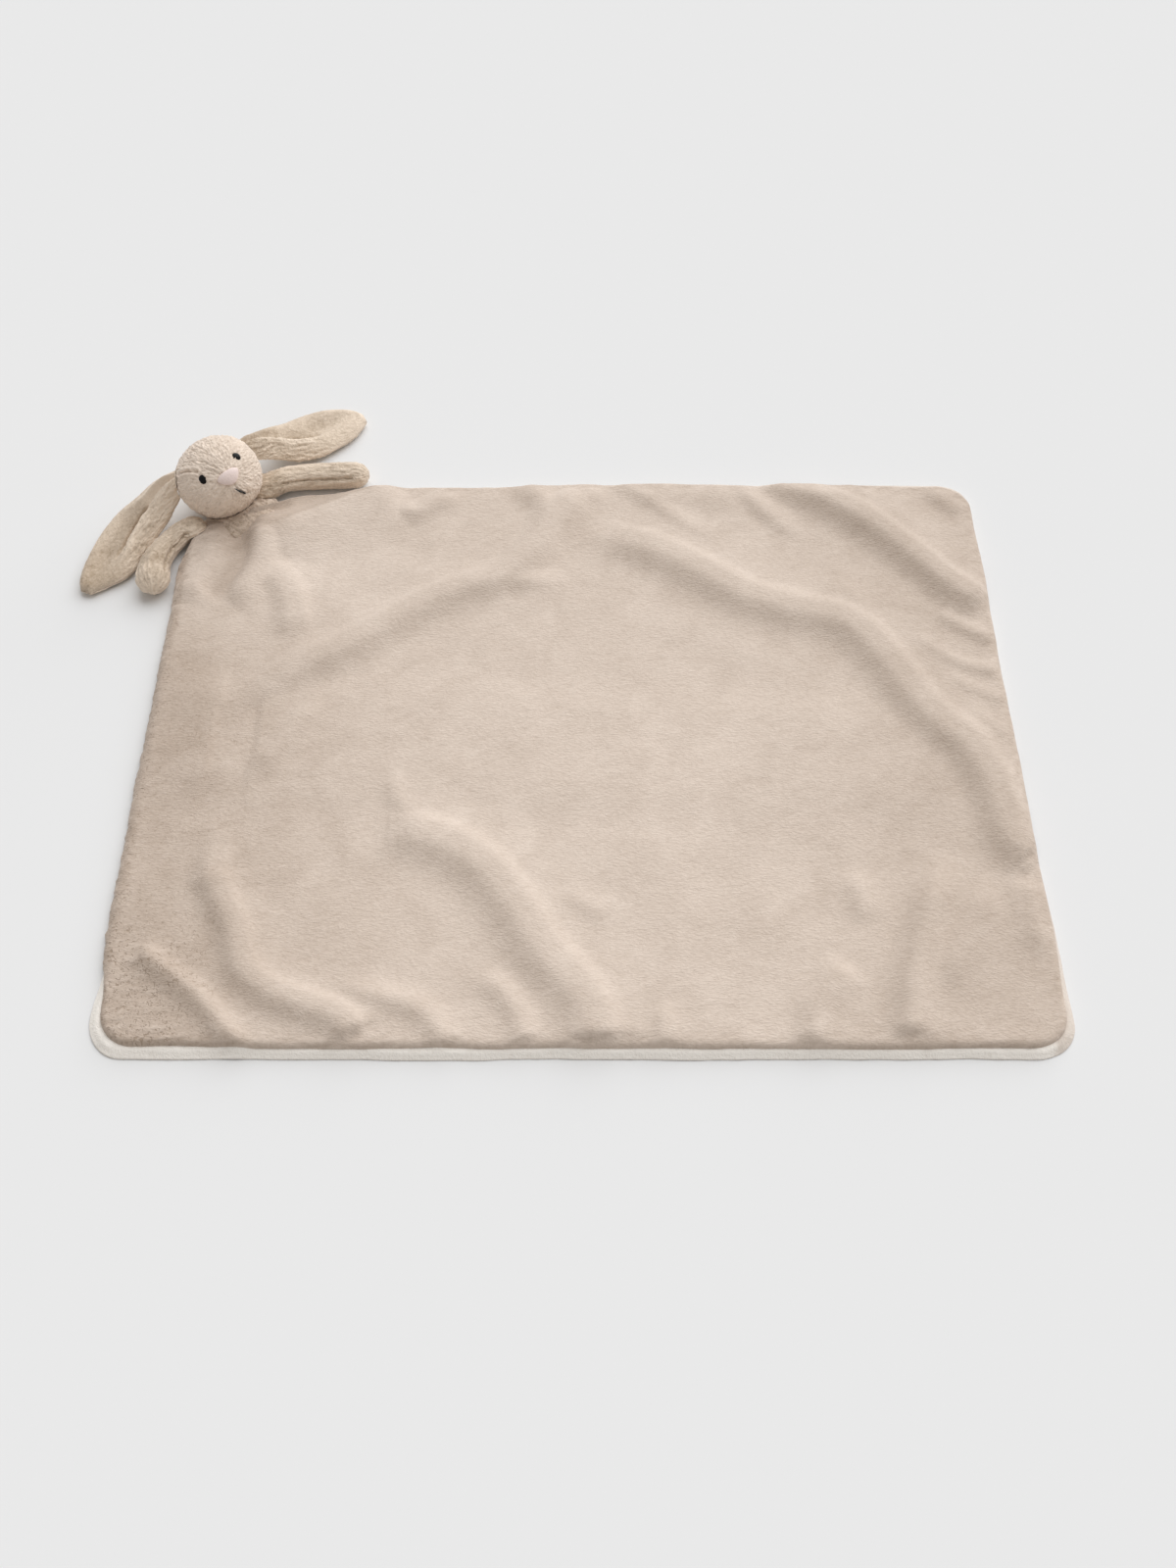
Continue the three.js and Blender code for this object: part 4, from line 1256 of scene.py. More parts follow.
def back_plush():
    settings = blanket_settings()
    insets = np.array([0, 0.25, 0.8, 1.6, 2.6, 3.8, 5.2, 6.6, 8, 9.4, 10.6, 11.6, 12.8, 15, 18]) * MM
    xs = grid_lines(HALF_WIDTH, insets, settings.grid_step * 1.15)
    ys = grid_lines(HALF_DEPTH, insets, settings.grid_step * 1.15)
    grid_x, grid_y = np.meshgrid(xs, ys)
    inset = np.minimum(HALF_WIDTH - np.abs(grid_x), HALF_DEPTH - np.abs(grid_y))
    x, y = rounded(grid_x, grid_y, HALF_WIDTH, HALF_DEPTH, CORNER_RADIUS)
    lefty = over_left(grid_x, y)
    half = (rim_at(x, y) + 2.2 * MM) / 2
    x, y = bulged(x, y)
    x = x + 6 * MM * lefty * smooth(-HALF_WIDTH + 60 * MM, -HALF_WIDTH, x)
    wave = edge_wave(x, y, 23.9) * hump(inset, 14 * MM) * (1 - lefty)
    x, y = x + wave * np.sign(x), y + wave * np.sign(y)
    x, y = gathered(x, y)
    middle = RIM_MIDDLE * (1 - 0.3 * lefty)
    crown = (settings.rim_height - middle - RIM_EDGE) * (1 - 0.75 * lefty)
    turn = np.sqrt(1 - (1 - np.clip(inset / RIM_EDGE, 0, 1)) ** 2)
    rim = middle + RIM_EDGE * turn + crown * smooth(0, 1.2, inset / half)
    lift = cloth_lift(x, y)
    thick = settings.back_pile
    inner = np.where(inset < 2 * half, np.maximum(rim, thick), thick)
    top = np.minimum(lift + np.where(inset < half, rim, inner), ceiling(x, y) - 1.7 * MM)
    belly = middle * (1 - turn)
    bottom = np.maximum(0, np.minimum(lift + belly, top - 0.4 * MM))
    top = np.maximum(top, bottom + 0.3 * MM)
    rest = np.stack([grid_x, grid_y, 0 * grid_x], -1)
    upper, lower = np.stack([x, y, top], -1), np.stack([x, y, bottom], -1)
    lumps = noise_at(upper.reshape(-1, 3), 7 * MM, 6.6).reshape(inset.shape)
    upper[..., 2] += 0.35 * MM * lumps * smooth(14 * MM, 10 * MM, inset)
    piece = slab("back_plush", upper, lower)
    keep_rest(piece, np.vstack([rest.reshape(-1, 3), rest.reshape(-1, 3) + (0, 0, 5 * MM)]))
    # Painted shade on the far and right sides of the rim, which face the key light
    lit = np.maximum(smooth(0.94, 0.98, grid_x / HALF_WIDTH), smooth(0.93, 0.97, grid_y / HALF_DEPTH))
    fur = np.clip(0.88 - 0.95 * lit + 0.15 * lumps, 0, 1)
    keep_value(piece, "fur", np.concatenate([fur.ravel(), fur.ravel() * 0 + 0.25]))
    return piece


# Reaches to either side of each soft piece's joint, as given to bend_at, which doesn't use them
FOLD_REACH = 33 * MM
EAR_BEND = 9 * MM
ARM_BEND = 9 * MM


def bend_at(piece, joint_name, reach):
    """Finds a soft piece's joint and bakes the piece's placing into its points; it doesn't bend the piece"""
    joint = next(j for j in frame["joints"] if j["name"] == joint_name)
    place, reach = Vector(joint["pos_m"]), Vector(reach)
    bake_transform(piece)


# Head

HEAD_SWELL = 0.9 * MM
HEAD_DEPTH_RADIUS = 37.2 * MM
HEAD_LOW_RADIUS = 36.8 * MM
HEAD_CROWN_RADIUS = 34.2 * MM
MUZZLE_RISE = 2.6 * MM
CHEEK_RISE = 1.8 * MM
GUSSET_HALF_WIDTH = 13 * MM
EYE_DIRECTION_SHARES = (0.5, -0.828, 0.253)
EYE_RADIUS = 4.5 * MM
EYE_OPENINGS = {"left": (1.0 * MM, 1.8 * MM), "right": (1.8 * MM, 3.6 * MM)}
EYE_HOLLOW = 3.4 * MM
EYE_LID = 0.5 * MM
SOFT_HOLLOW = 0.9 * MM
SOFT_HOLLOW_SPREAD = 6 * MM


def eye_direction(name):
    x, y, z = EYE_DIRECTION_SHARES
    return Vector((SIDES[name] * x, y, z)).normalized()


def bump_at(directions, centre, spread):
    cosine = np.clip(directions @ np.array(Vector(centre).normalized()), -1, 1)
    return hump(np.arccos(cosine), spread)


def head_radius(directions):
    """Distance of the stuffed head's surface from its centre, in the head's frame"""
    x, y, z = directions.T
    tall = np.where(z > 0, HEAD_CROWN_RADIUS, HEAD_LOW_RADIUS)
    radius = 1 / np.sqrt((x / HEAD_RADIUS) ** 2 + (y / HEAD_DEPTH_RADIUS) ** 2 + (z / tall) ** 2)
    radius = radius + MUZZLE_RISE * bump_at(directions, (0, -0.95, -0.31), 0.5)
    for side in SIDES.values():
        radius = radius + CHEEK_RISE * bump_at(directions, (side * 0.62, -0.55, -0.56), 0.45)
    return radius


def on_head(direction, stand=0.0):
    """A place on the head's surface in the head's frame"""
    direction = Vector(direction).normalized()
    radius = head_radius(np.array([direction]))[0]
    return direction * (radius + stand)


def icosphere(name, levels):
    """A closed ball of even triangles with a radius of 1"""
    golden = (1 + math.sqrt(5)) / 2
    corners = [(-1, golden, 0), (1, golden, 0), (-1, -golden, 0), (1, -golden, 0)]
    corners += [(0, -1, golden), (0, 1, golden), (0, -1, -golden), (0, 1, -golden)]
    corners += [(golden, 0, -1), (golden, 0, 1), (-golden, 0, -1), (-golden, 0, 1)]
    faces = [(0, 11, 5), (0, 5, 1), (0, 1, 7), (0, 7, 10), (0, 10, 11), (1, 5, 9), (5, 11, 4), (11, 10, 2)]
    faces += [(10, 7, 6), (7, 1, 8), (3, 9, 4), (3, 4, 2), (3, 2, 6), (3, 6, 8), (3, 8, 9), (4, 9, 5)]
    faces += [(2, 4, 11), (6, 2, 10), (8, 6, 7), (9, 8, 1)]
    points = [Vector(corner).normalized() for corner in corners]
    for _ in range(levels):
        middles = {}

        def middle(a, b):
            key = (min(a, b), max(a, b))
            if key not in middles:
                middles[key] = len(points)
                points.append(((points[a] + points[b]) / 2).normalized())
            return middles[key]

        finer = []
        for a, b, c in faces:
            ab, bc, ca = middle(a, b), middle(b, c), middle(c, a)
            finer += [(a, ab, ca), (b, bc, ab), (c, ca, bc), (ab, bc, ca)]
        faces = finer
    return mesh_object(name, np.array(points), faces)


def head_frame_directions(points):
    """Directions from the head's centre, in the head's frame, of places in the toy's frame"""
    to_head = (Matrix.Translation(HEAD_CENTRE) @ head_turn).inverted()
    return unit(moved(points, to_head))


# The limbs and the chest sink this far into the fur of the head
HEAD_STAND = -0.3 * MM


def off_head(points, stand):
    """Moves places of the toy's frame that lie in the head out to its surface"""
    away = points - np.array(HEAD_CENTRE)
    distance = np.linalg.norm(away, axis=1)
    reach = head_radius(head_frame_directions(points)) + stand
    out = np.maximum(distance, reach) / np.maximum(distance, 1e-9)
    return np.array(HEAD_CENTRE) + away * out[:, None]


BROW_CREASE = [(-0.80, -0.20, 0.56), (-0.70, -0.42, 0.58), (-0.60, -0.60, 0.53), (-0.50, -0.74, 0.46)]
MOUTH_GROOVE = [(0.03, -0.99, -0.16), (0.05, -0.925, -0.37), (0.15, -0.84, -0.52), (0.32, -0.74, -0.59)]


def beside_course(directions, shares):
    """Distance on the head from a course of directions"""
    run = unit(course(shares, 40))
    nearest = np.max(directions @ run.T, axis=1)
    return np.arccos(np.clip(nearest, -1, 1)) * HEAD_RADIUS


def head_creases(directions):
    """Depth of the head's seams and of the partings in its fur"""
    aside = np.abs(directions[:, 0] * HEAD_RADIUS)
    behind = smooth(0.05, 0.6, directions[:, 1])
    depth = 1.0 * MM * hump(aside - GUSSET_HALF_WIDTH, 1.4 * MM) * behind
    brow = beside_course(directions, BROW_CREASE)
    depth += 1.2 * MM * hump(brow, 1.1 * MM) - 0.7 * MM * hump(brow - 2.6 * MM, 1.4 * MM)
    depth += 0.9 * MM * hump(beside_course(directions, MOUTH_GROOVE), 1.2 * MM)
    return depth


def eye_hollow(points, name):
    """Depth of the opening in the fur in front of an eye"""
    direction = eye_direction(name)
    across = Vector((0, 0, 1)).cross(direction).normalized()
    up = direction.cross(across)
    away = points - np.array(on_head(direction))
    aside, along = away @ np.array(across), away @ np.array(up)
    near = hump(away @ np.array(direction), 12 * MM)
    wide, tall = EYE_OPENINGS[name]
    opening = EYE_HOLLOW * hump(aside, wide) * hump(along, tall)
    lids = EYE_LID * hump(np.abs(aside) - 1.9 * wide, 1.5 * MM) * hump(along, 1.4 * tall)
    soft = SOFT_HOLLOW * hump(np.hypot(aside, along), SOFT_HOLLOW_SPREAD)
    return (opening - lids + soft) * near


def head_cover():
    piece = icosphere("head_plush", 4)
    directions = points_of(piece)
    swell = swelling(HEAD_SWELL)
    place_points(piece, directions * (head_radius(directions) - swell)[:, None])
    inflate(piece, np.abs(np.abs(directions[:, 0]) * HEAD_RADIUS - GUSSET_HALF_WIDTH) < 2 * MM, swell)
    subdivide(piece, 2)
    points = points_of(piece)
    directions = unit(points)
    normals = normals_of(piece)
    flow = points - np.array(on_head((0, -1, 0)))
    flow = unit(flow - normals * np.sum(flow * normals, axis=1, keepdims=True))
    settings = bunny_settings()
    fine = combed(points, flow, settings.clump * 0.7, 1.8 * MM, 2.4, steps=3, waviness=1.6 * MM)
    coarse = combed(points, flow, settings.clump * 2.0, 2.4 * MM, 7.9, steps=2, waviness=3 * MM)
    fur = 0.7 * fine + 0.35 * coarse
    hollows = sum(eye_hollow(points, name) for name in SIDES)
    calm = 1 - 0.7 * np.clip(hollows / EYE_HOLLOW, 0, 1)
    depth = settings.fur * 0.52 * fur * calm - head_creases(directions) - hollows
    at_nose = np.linalg.norm(points - np.array(on_head((0.03, -1, -0.03))), axis=1)
    depth -= 0.3 * MM * hump(at_nose, 7 * MM)
    place_points(piece, points + normals * depth[:, None])
    # Painted shade in the creases and the eye hollows, and painted light on the sides turned away from the
    # key light, fading out towards the underside
    shade = 0.5 * np.clip(head_creases(directions) / MM, -1, 1) + 0.25 * np.clip(hollows / EYE_HOLLOW, 0, 1)
    tone_and_painted_light = 0.46 + 0.5 * painted_light_off_key(normals, head_matrix) * smooth(1.15, 0.35, -directions[:, 2])
    tone_and_painted_light = np.clip(tone_and_painted_light, 0, 0.85) - 0.1 * noise_at(points, 11 * MM, 3.3)
    keep_value(piece, "fur", np.clip(tone_and_painted_light + 0.27 * fur - 0.4 * shade, 0, 1))
    keep_value(piece, "ruffle", 0.12 + 0.3 * np.clip(head_creases(directions) / MM, 0, 1))
    keep_rest(piece, points)
    places = moved(points_of(piece), head_matrix)
    places[:, 2] = np.maximum(places[:, 2], FLOOR_GAP)
    place_points(piece, places)
    piece.data.materials.append(fur_material())
    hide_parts("head_left_panel", "head_right_panel", "head_gusset")
    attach(piece, "head")


# Face

EYE_HEIGHT = 3.6 * MM
EYE_SINK = 0.4 * MM
SHANK_RADIUS = 1.6 * MM
SHANK_LENGTH = 10 * MM
NOSE_WIDTH = 21 * MM
NOSE_RISE = 1.5 * MM
NOSE_ASIDE = 1 * MM
THREAD_RADIUS = 1.0 * MM
MOUTH_COURSE = [(-0.02, -0.967, -0.253), (0.05, -0.925, -0.37), (0.11, -0.88, -0.46), (0.17, -0.82, -0.541)]


def lathe(name, profile, around=40):
    """A closed turned piece from a profile of radius and height that starts and ends on the axis"""
    angles = np.linspace(0, 2 * math.pi, around, endpoint=False)
    rings = [[(r * math.cos(a), r * math.sin(a), h) for a in angles] for r, h in profile[1:-1]]
    first, last = (0, 0, profile[0][1]), (0, 0, profile[-1][1])
    return tube(name, np.array(rings), first, last)


def facing(direction, place):
    """Turns +Z to a direction of the head's frame and stands it at a place there"""
    turn = Vector((0, 0, 1)).rotation_difference(Vector(direction)).to_matrix().to_4x4()
    return head_matrix @ Matrix.Translation(place) @ turn


def eye(name):
    turns = np.linspace(0, math.pi / 2, 14)
    dome = [(EYE_RADIUS * math.cos(a), EYE_HEIGHT * math.sin(a)) for a in turns]
    rim = [
        (SHANK_RADIUS, -0.5 * MM),
        (EYE_RADIUS * 0.8, -0.5 * MM),
        (EYE_RADIUS * 0.97, -0.3 * MM),
    ]
    shank = [
        (0, -SHANK_LENGTH),
        (SHANK_RADIUS * 0.7, -SHANK_LENGTH),
        (SHANK_RADIUS, -SHANK_LENGTH + 0.6 * MM),
    ]
    piece = lathe(f"eye_{name}", shank + rim + dome)
    direction = eye_direction(name)
    place = on_head(direction, -EYE_HEIGHT - EYE_SINK)
    place_points(piece, moved(points_of(piece), facing(direction, place)))
    piece.data.materials.append(eye_material())
    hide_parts(f"{name}_eye")
    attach(piece, "head")


@functools.lru_cache
def eye_material():
    return grained_material("Eye", (0.004, 0.004, 0.004), 900.0, (0.04, 0.12), specular=0.12)


# Corners of the velour nose as shares of its half width, from the bunny's left over the top
NOSE_OUTLINE_SHARES = [
    (1.0, 0.16), (0.62, 0.47), (0, 0.55), (-0.62, 0.47), (-1.0, 0.16), (-0.62, -0.34), (0, -0.6),
    (0.62, -0.34),
]
NOSE_VALUES = {
    "Grain Depth": 0.4,
    "Patch Depth": 0.4,
    "Grain Scale": 1500.0,
    "Tuft Scale": 900.0,
    "Patch Scale": 120.0,
}


def closed_course(points, count):
    """A smooth closed run of count points through the given ones"""
    known = np.array(points, float)
    run = course(np.vstack([known[-2:], known, known[:3]]), count * 4 * (len(known) + 4) // len(known) + 1)
    step = (len(run) - 1) / (len(known) + 4)
    places = np.linspace(2 * step, (len(known) + 2) * step, count, endpoint=False)
    return run[places.round().astype(int)]


def nose():
    rings, around = 16, 72
    outline = closed_course(NOSE_OUTLINE_SHARES, around) * NOSE_WIDTH / 2
    layers = []
    stands = [(s, 1 - s**3) for s in np.linspace(1 / rings, 1, rings)]
    for share, stand in stands + [(1.0, -0.6), (0.6, -0.8), (0.2, -0.8)]:
        across = outline[:, 0] * share + NOSE_ASIDE
        up = outline[:, 1] * share
        directions = unit(np.stack([across, np.full(around, -HEAD_DEPTH_RADIUS), up], -1))
        layers.append(directions * (head_radius(directions) + NOSE_RISE * stand)[:, None])
    centre = Vector((NOSE_ASIDE, -HEAD_DEPTH_RADIUS, 0))
    first, last = on_head(centre, NOSE_RISE), on_head(centre, -0.8 * NOSE_RISE)
    piece = tube("nose_pad", np.array(layers), tuple(first), tuple(last))
    points = points_of(piece)
    keep_rest(piece, points)
    fine = noise_at(points, 0.9 * MM, 5.5)
    keep_value(piece, "fur", np.clip(0.5 + 0.3 * fine, 0, 1))
    points = points + normals_of(piece) * (0.12 * MM * fine)[:, None]
    place_points(piece, moved(points, head_matrix))
    colour = bunny_settings().nose_colour
    shade = tuple(c * s for c, s in zip(colour, (0.84, 0.78, 0.76)))
    piece.data.materials.append(plush_material("Nose velour", colour, shade, NOSE_VALUES, relief=0.25 * MM))
    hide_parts("nose")
    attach(piece, "head")


def twisted_thread(name, centres, radius, twist):
    """A closed thread of two twisted plies along a run of points"""
    around = 12
    tangents = unit(np.gradient(centres, axis=0))
    out = unit(centres)
    side = unit(np.cross(tangents, out))
    out = np.cross(side, tangents)
    angles = np.linspace(0, 2 * math.pi, around, endpoint=False)
    rings = []
    for i, centre in enumerate(centres):
        turn = angles - twist * i
        reach = radius * (0.82 + 0.18 * np.abs(np.cos(turn)))
        taper = math.sqrt(max(0.05, math.sin(math.pi * (i + 0.5) / len(centres))))
        way = np.cos(angles)[:, None] * side[i] + np.sin(angles)[:, None] * out[i]
        rings.append(centre + (reach * taper)[:, None] * way)
    first = centres[0] - tangents[0] * radius * 0.5
    last = centres[-1] + tangents[-1] * radius * 0.5
    return tube(name, np.array(rings), first, last)


def mouth():
    shares = course(MOUTH_COURSE, 60)
    directions = unit(shares)
    along = np.linspace(0, 1, len(directions))
    stand = 0.9 * MM - 2.6 * MM * smooth(0.35, 0.6, along) + 1.2 * MM * hump(along - 0.82, 0.08)
    centres = directions * (head_radius(directions) + stand)[:, None]
    piece = twisted_thread("mouth_thread", centres, THREAD_RADIUS, 0.55)
    place_points(piece, moved(points_of(piece), head_matrix))
    piece.data.materials.append(thread_material())
    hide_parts("mouth_stitch")
    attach(piece, "head")


def thread_material():
    return grained_material("Thread", (0.012, 0.011, 0.011), 2500.0, (0.45, 0.3), (0.2 * MM, 0.6))


# Ears

# The edges in millimetres of the toy's frame, mirrored for the right ear, the near one towards the arm
EAR_EDGES = {
    "left": {
        "far": [
            (27, 37, 47), (43, 46, 40), (69, 56.5, 26), (88, 63, 15), (110, 66, 9), (132, 61.5, 7),
            (149, 49, 6), (157.5, 36, 5),
        ],
        "near": [
            (33, 22, 37), (45, 25, 29), (60, 26.5, 18), (77, 21, 9), (94, 16, 6), (113, 15, 5.5),
            (136, 18, 5), (155, 27, 5),
        ],
    },
    "right": {
        "far": [
            (25, 41, 47), (45, 55, 34), (64, 62, 20), (83, 64, 12), (108, 54, 8), (132, 36, 7),
            (145, 23, 6), (150.5, 13, 5),
        ],
        "near": [
            (31, 29, 36), (42, 28, 26), (59, 24, 14), (82, 16, 8), (98, 7, 6), (112, 1, 5.5),
            (130, 2.5, 5), (146, 5, 5),
        ],
    },
}
EAR_ALONG = 180
EAR_ACROSS = 104
EAR_BODY = 5.0 * MM
EAR_LIP = 1.8 * MM
EAR_HOLLOW = 3.8 * MM
EAR_CREASE = 4.5 * MM
EAR_SEAM = 0.15 * MM
EAR_DISH_AT = 0.66

# Lightness of each ear's fur, the painted light and shade at its root and at its tip, the painted shade in
# its lining, and where the painted shade beside its crease lies
EAR_TONES = {"left": 0.4, "right": 0.4}
EAR_ROOT_PAINTED_LIGHT = {"left": -0.42, "right": 0.3}
EAR_TIP_PAINTED_LIGHT = {"left": 0.25, "right": -0.6}
EAR_LINING_SHADES = {"left": 0.3, "right": 0.42}
EAR_SHADES_AT = {"left": 0.085, "right": 0.05}


def ear_form(name, side):
    """Middle surface of an ear in the toy's frame, with how far along and across each place is"""
    edges = EAR_EDGES[name]
    far = course(np.array(edges["far"]) * MM, EAR_ALONG) * (side, 1, 1)
    near = course(np.array(edges["near"]) * MM, EAR_ALONG) * (side, 1, 1)
    along = np.linspace(0, 1, EAR_ALONG)[:, None]
    angle = np.linspace(-math.pi / 2, math.pi / 2, EAR_ACROSS)
    across = (np.sin(angle) + 1)[None, :] / 2
    middle = near[:, None, :] * (1 - across[..., None]) + far[:, None, :] * across[..., None]
    return middle, along + 0 * across, across + 0 * along


# How far along each ear the lining shows from between the rolled side and the far side
EAR_OPENINGS = {"left": 0.18, "right": 0.3}
EAR_ROLLS = {"left": 0.75, "right": 0.55}


def ear_crease(along):
    """How far across the ear the rolled side ends"""
    return 0.58 - 0.2 * smooth(0.15, 0.6, along)


def ear_roll_run(along):
    return smooth(-0.06, 0.1, along) * smooth(0.78, 0.48, along)


def ear_crease_run(name, along):
    start = EAR_OPENINGS[name]
    return smooth(start - 0.04, start + 0.02, along) * smooth(0.68, 0.45, along)


def ear_heights(name, along, across):
    """Height of the lining and depth of the back, over and under the ear's middle"""
    settings = bunny_settings()
    edge = np.sqrt(np.clip(1 - (2 * across - 1) ** 2, 0, 1)) ** 0.7
    end = np.sqrt(np.clip(1 - np.clip(1 - (1 - along) / 0.075, 0, 1) ** 2, 0, 1))
    body = EAR_BODY * edge * end
    crease_at = ear_crease(along)
    rolled = np.sin(math.pi * np.clip(across / crease_at, 0, 1) ** 1.6) ** 0.7
    roll = settings.ear_roll * EAR_ROLLS[name] * rolled * ear_roll_run(along)
    beyond = np.clip((across - crease_at) / (1 - crease_at), 0, 1)
    closed = smooth(EAR_OPENINGS[name] + 0.15, EAR_OPENINGS[name] - 0.05, along)
    lip = (EAR_LIP + 3.2 * MM * closed) * hump(beyond - 0.8 + 0.35 * closed, 0.24)
    lip *= smooth(0.0, 0.12, along) * smooth(1.0, 0.8, along)
    dished = 0.45 * hump(along - EAR_OPENINGS[name] - 0.12, 0.14) + hump(along - EAR_DISH_AT, 0.13)
    hollow = EAR_HOLLOW * np.sin(math.pi * beyond) * dished
    crease = EAR_CREASE * hump(across - crease_at - 0.02, 0.035) * ear_crease_run(name, along)
    return body + (roll + lip - hollow - crease) * edge, body * 0.8


def ear_tone_and_painted_light(name, along, across):
    """Tone of an ear with painted light and shade: painted shade in the crease and the hollow, a painted
    highlight along the crest of the roll, and painted light and shade at the root and the tip
    """
    beyond = across - ear_crease(along)
    run = ear_crease_run(name, along)
    tone_and_painted_light = EAR_TONES[name] + EAR_TIP_PAINTED_LIGHT[name] * smooth(0.55, 0.9, along)
    tone_and_painted_light += EAR_ROOT_PAINTED_LIGHT[name] * smooth(0.45, 0.1, along)
    tone_and_painted_light -= 0.85 * hump(beyond - EAR_SHADES_AT[name], 0.045) * run
    tone_and_painted_light -= EAR_LINING_SHADES[name] * smooth(0.0, 0.06, beyond) * smooth(0.42, 0.2, beyond) * run
    tone_and_painted_light -= EAR_LINING_SHADES[name] * hump(along - EAR_DISH_AT, 0.12) * hump(beyond - 0.26, 0.17)
    return tone_and_painted_light + 0.25 * hump(beyond + 0.12, 0.1) * run


def ear_piece(name, side, which):
    middle, along, across = ear_form(name, side)
    high, deep = ear_heights(name, along, across)
    lift = np.zeros_like(middle)
    lift[..., 2] = 1
    middle[..., 2] = np.maximum(middle[..., 2], deep + 0.4 * MM)
    if which == "lining":
        upper, lower = middle + lift * (high + EAR_SEAM)[..., None], middle + lift * EAR_SEAM
    else:
        upper, lower = middle - lift * EAR_SEAM, middle - lift * (deep + EAR_SEAM)[..., None]
    if side > 0:
        upper, lower, along, across = upper[:, ::-1], lower[:, ::-1], along[:, ::-1], across[:, ::-1]
    rolled = smooth(0.04, -0.06, across - ear_crease(along)) * ear_roll_run(along)
    deep_fur = 0.15 + 1.05 * rolled + 0.5 * smooth(0.85, 0.97, along)
    tone_and_painted_light = ear_tone_and_painted_light(name, along, across).ravel()
    piece = slab(f"ear_{which}_{name}", upper, lower)
    deep_fur = deep_fur.ravel()
    return piece, np.concatenate([deep_fur, 0 * tone_and_painted_light + 0.8]), np.concatenate([tone_and_painted_light, 0 * tone_and_painted_light + EAR_TONES[name]])


# From the blanket towards the key light
KEY_TOWARDS = (0.42, 0.72, 0.82)


def painted_light_off_key(normals, matrix):
    """Painted light on the sides that are turned away from the key light, which lightens their shade

    The normals are those of a frame that the matrix places.
    """
    away = -unit(np.array([KEY_TOWARDS]))[0]
    return smooth(-0.72, 0.15, unit(turned(normals, matrix)) @ away)


def limb_fur(piece, flow, seed, deep=1.0, tone_and_painted_light=0.5):
    """Combs clumps of fur along a limb and stores them, about the given tone and with painted light, for the
    material
    """
    settings = bunny_settings()
    points, normals = points_of(piece), normals_of(piece)
    flow = unit(flow - normals * np.sum(flow * normals, axis=1, keepdims=True))
    fine = combed(points, flow, settings.clump * 0.75, 2.2 * MM, seed, steps=3, waviness=1.5 * MM)
    coarse = combed(points, flow, settings.clump * 1.7, 5.5 * MM, seed + 3.3, waviness=3 * MM)
    fur = (0.6 * fine + 0.75 * coarse * deep) * np.minimum(0.35 + 0.75 * deep, 1)
    place_points(piece, points + normals * (settings.fur * 0.42 * fur)[:, None])
    keep_value(piece, "ruffle", np.clip(0.25 * deep, 0, 0.3) + np.zeros(len(points)))
    # Painted light on the sides turned away from the key light
    tone_and_painted_light = tone_and_painted_light + 0.5 * painted_light_off_key(normals, toy_matrix)
    keep_value(piece, "fur", np.clip(tone_and_painted_light + 0.22 * fur, 0, 1))
    keep_rest(piece, points)


def ears():
    for name, side in SIDES.items():
        flow = unit(np.array([[side * 0.86, -0.35, 0.0]]))
        for which in ("back", "lining"):
            piece, deep, tone_and_painted_light = ear_piece(name, side, which)
            limb_fur(piece, flow + np.zeros((len(deep), 3)), 12.1 + side, deep, tone_and_painted_light)
            points = off_head(points_of(piece), HEAD_STAND)
            points[:, 2] = np.maximum(points[:, 2], FLOOR_GAP)
            place_points(piece, moved(points, toy_matrix))
            piece.data.materials.append(limb_material())
            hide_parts(f"{name}_ear_{which}")
            bend_at(piece, f"{name}_ear_lift", in_toy((side * 0.86, 0.2, -0.46)) * EAR_BEND)


# Arms

# Lightness of each arm's fur, the painted light and shade at its root, and the painted shade inside its bend
ARM_TONES = {"left": 0.4, "right": 0.32}
ARM_ROOT_PAINTED_LIGHT = {"left": -0.5, "right": 0.1}
ARM_BEND_SHADES = {"left": 0, "right": 0.5}
ARM_REACH = 70 * MM
ARM_HALF_WIDTH = 12.2 * MM
ARM_ROOT = Vector((43 * MM, 7 * MM, 13 * MM))
ARM_FLATNESS = 0.88
LIMB_SWELL = 0.8 * MM

# From the shoulder to the paw: how far out and across, in reaches, and how thick, in half widths
ARM_COURSES = {
    "left": [
        (-0.16, 0.02, 1.05), (0, 0, 0.98), (0.13, -0.01, 0.95), (0.31, -0.08, 0.98), (0.55, -0.24, 1.0),
        (0.76, -0.4, 1.02), (0.89, -0.5, 1.0),
    ],
    "right": [
        (-0.02, -0.01, 0.95), (0.05, 0.005, 0.92), (0.15, 0.03, 0.88), (0.38, -0.02, 0.92),
        (0.6, -0.16, 1.04), (0.73, -0.31, 1.14), (0.79, -0.40, 1.17),
    ],
}


def arm_rings(course_shares, side, count):
    run = course(course_shares, count)
    radius = run[:, 2] * ARM_HALF_WIDTH
    x = side * (ARM_ROOT.x + run[:, 0] * ARM_REACH)
    y = ARM_ROOT.y + run[:, 1] * ARM_REACH
    rest_up = ARM_FLATNESS * radius
    z = rest_up + (ARM_ROOT.z - rest_up) * smooth(0.35, 0.0, run[:, 0])
    centres = np.stack([x, y, z], -1)
    tangents = unit(np.gradient(centres, axis=0))
    sideways = unit(np.stack([-tangents[:, 1], tangents[:, 0], 0 * x], -1))
    upward = np.cross(tangents, sideways)
    return centres, tangents, sideways, upward, radius


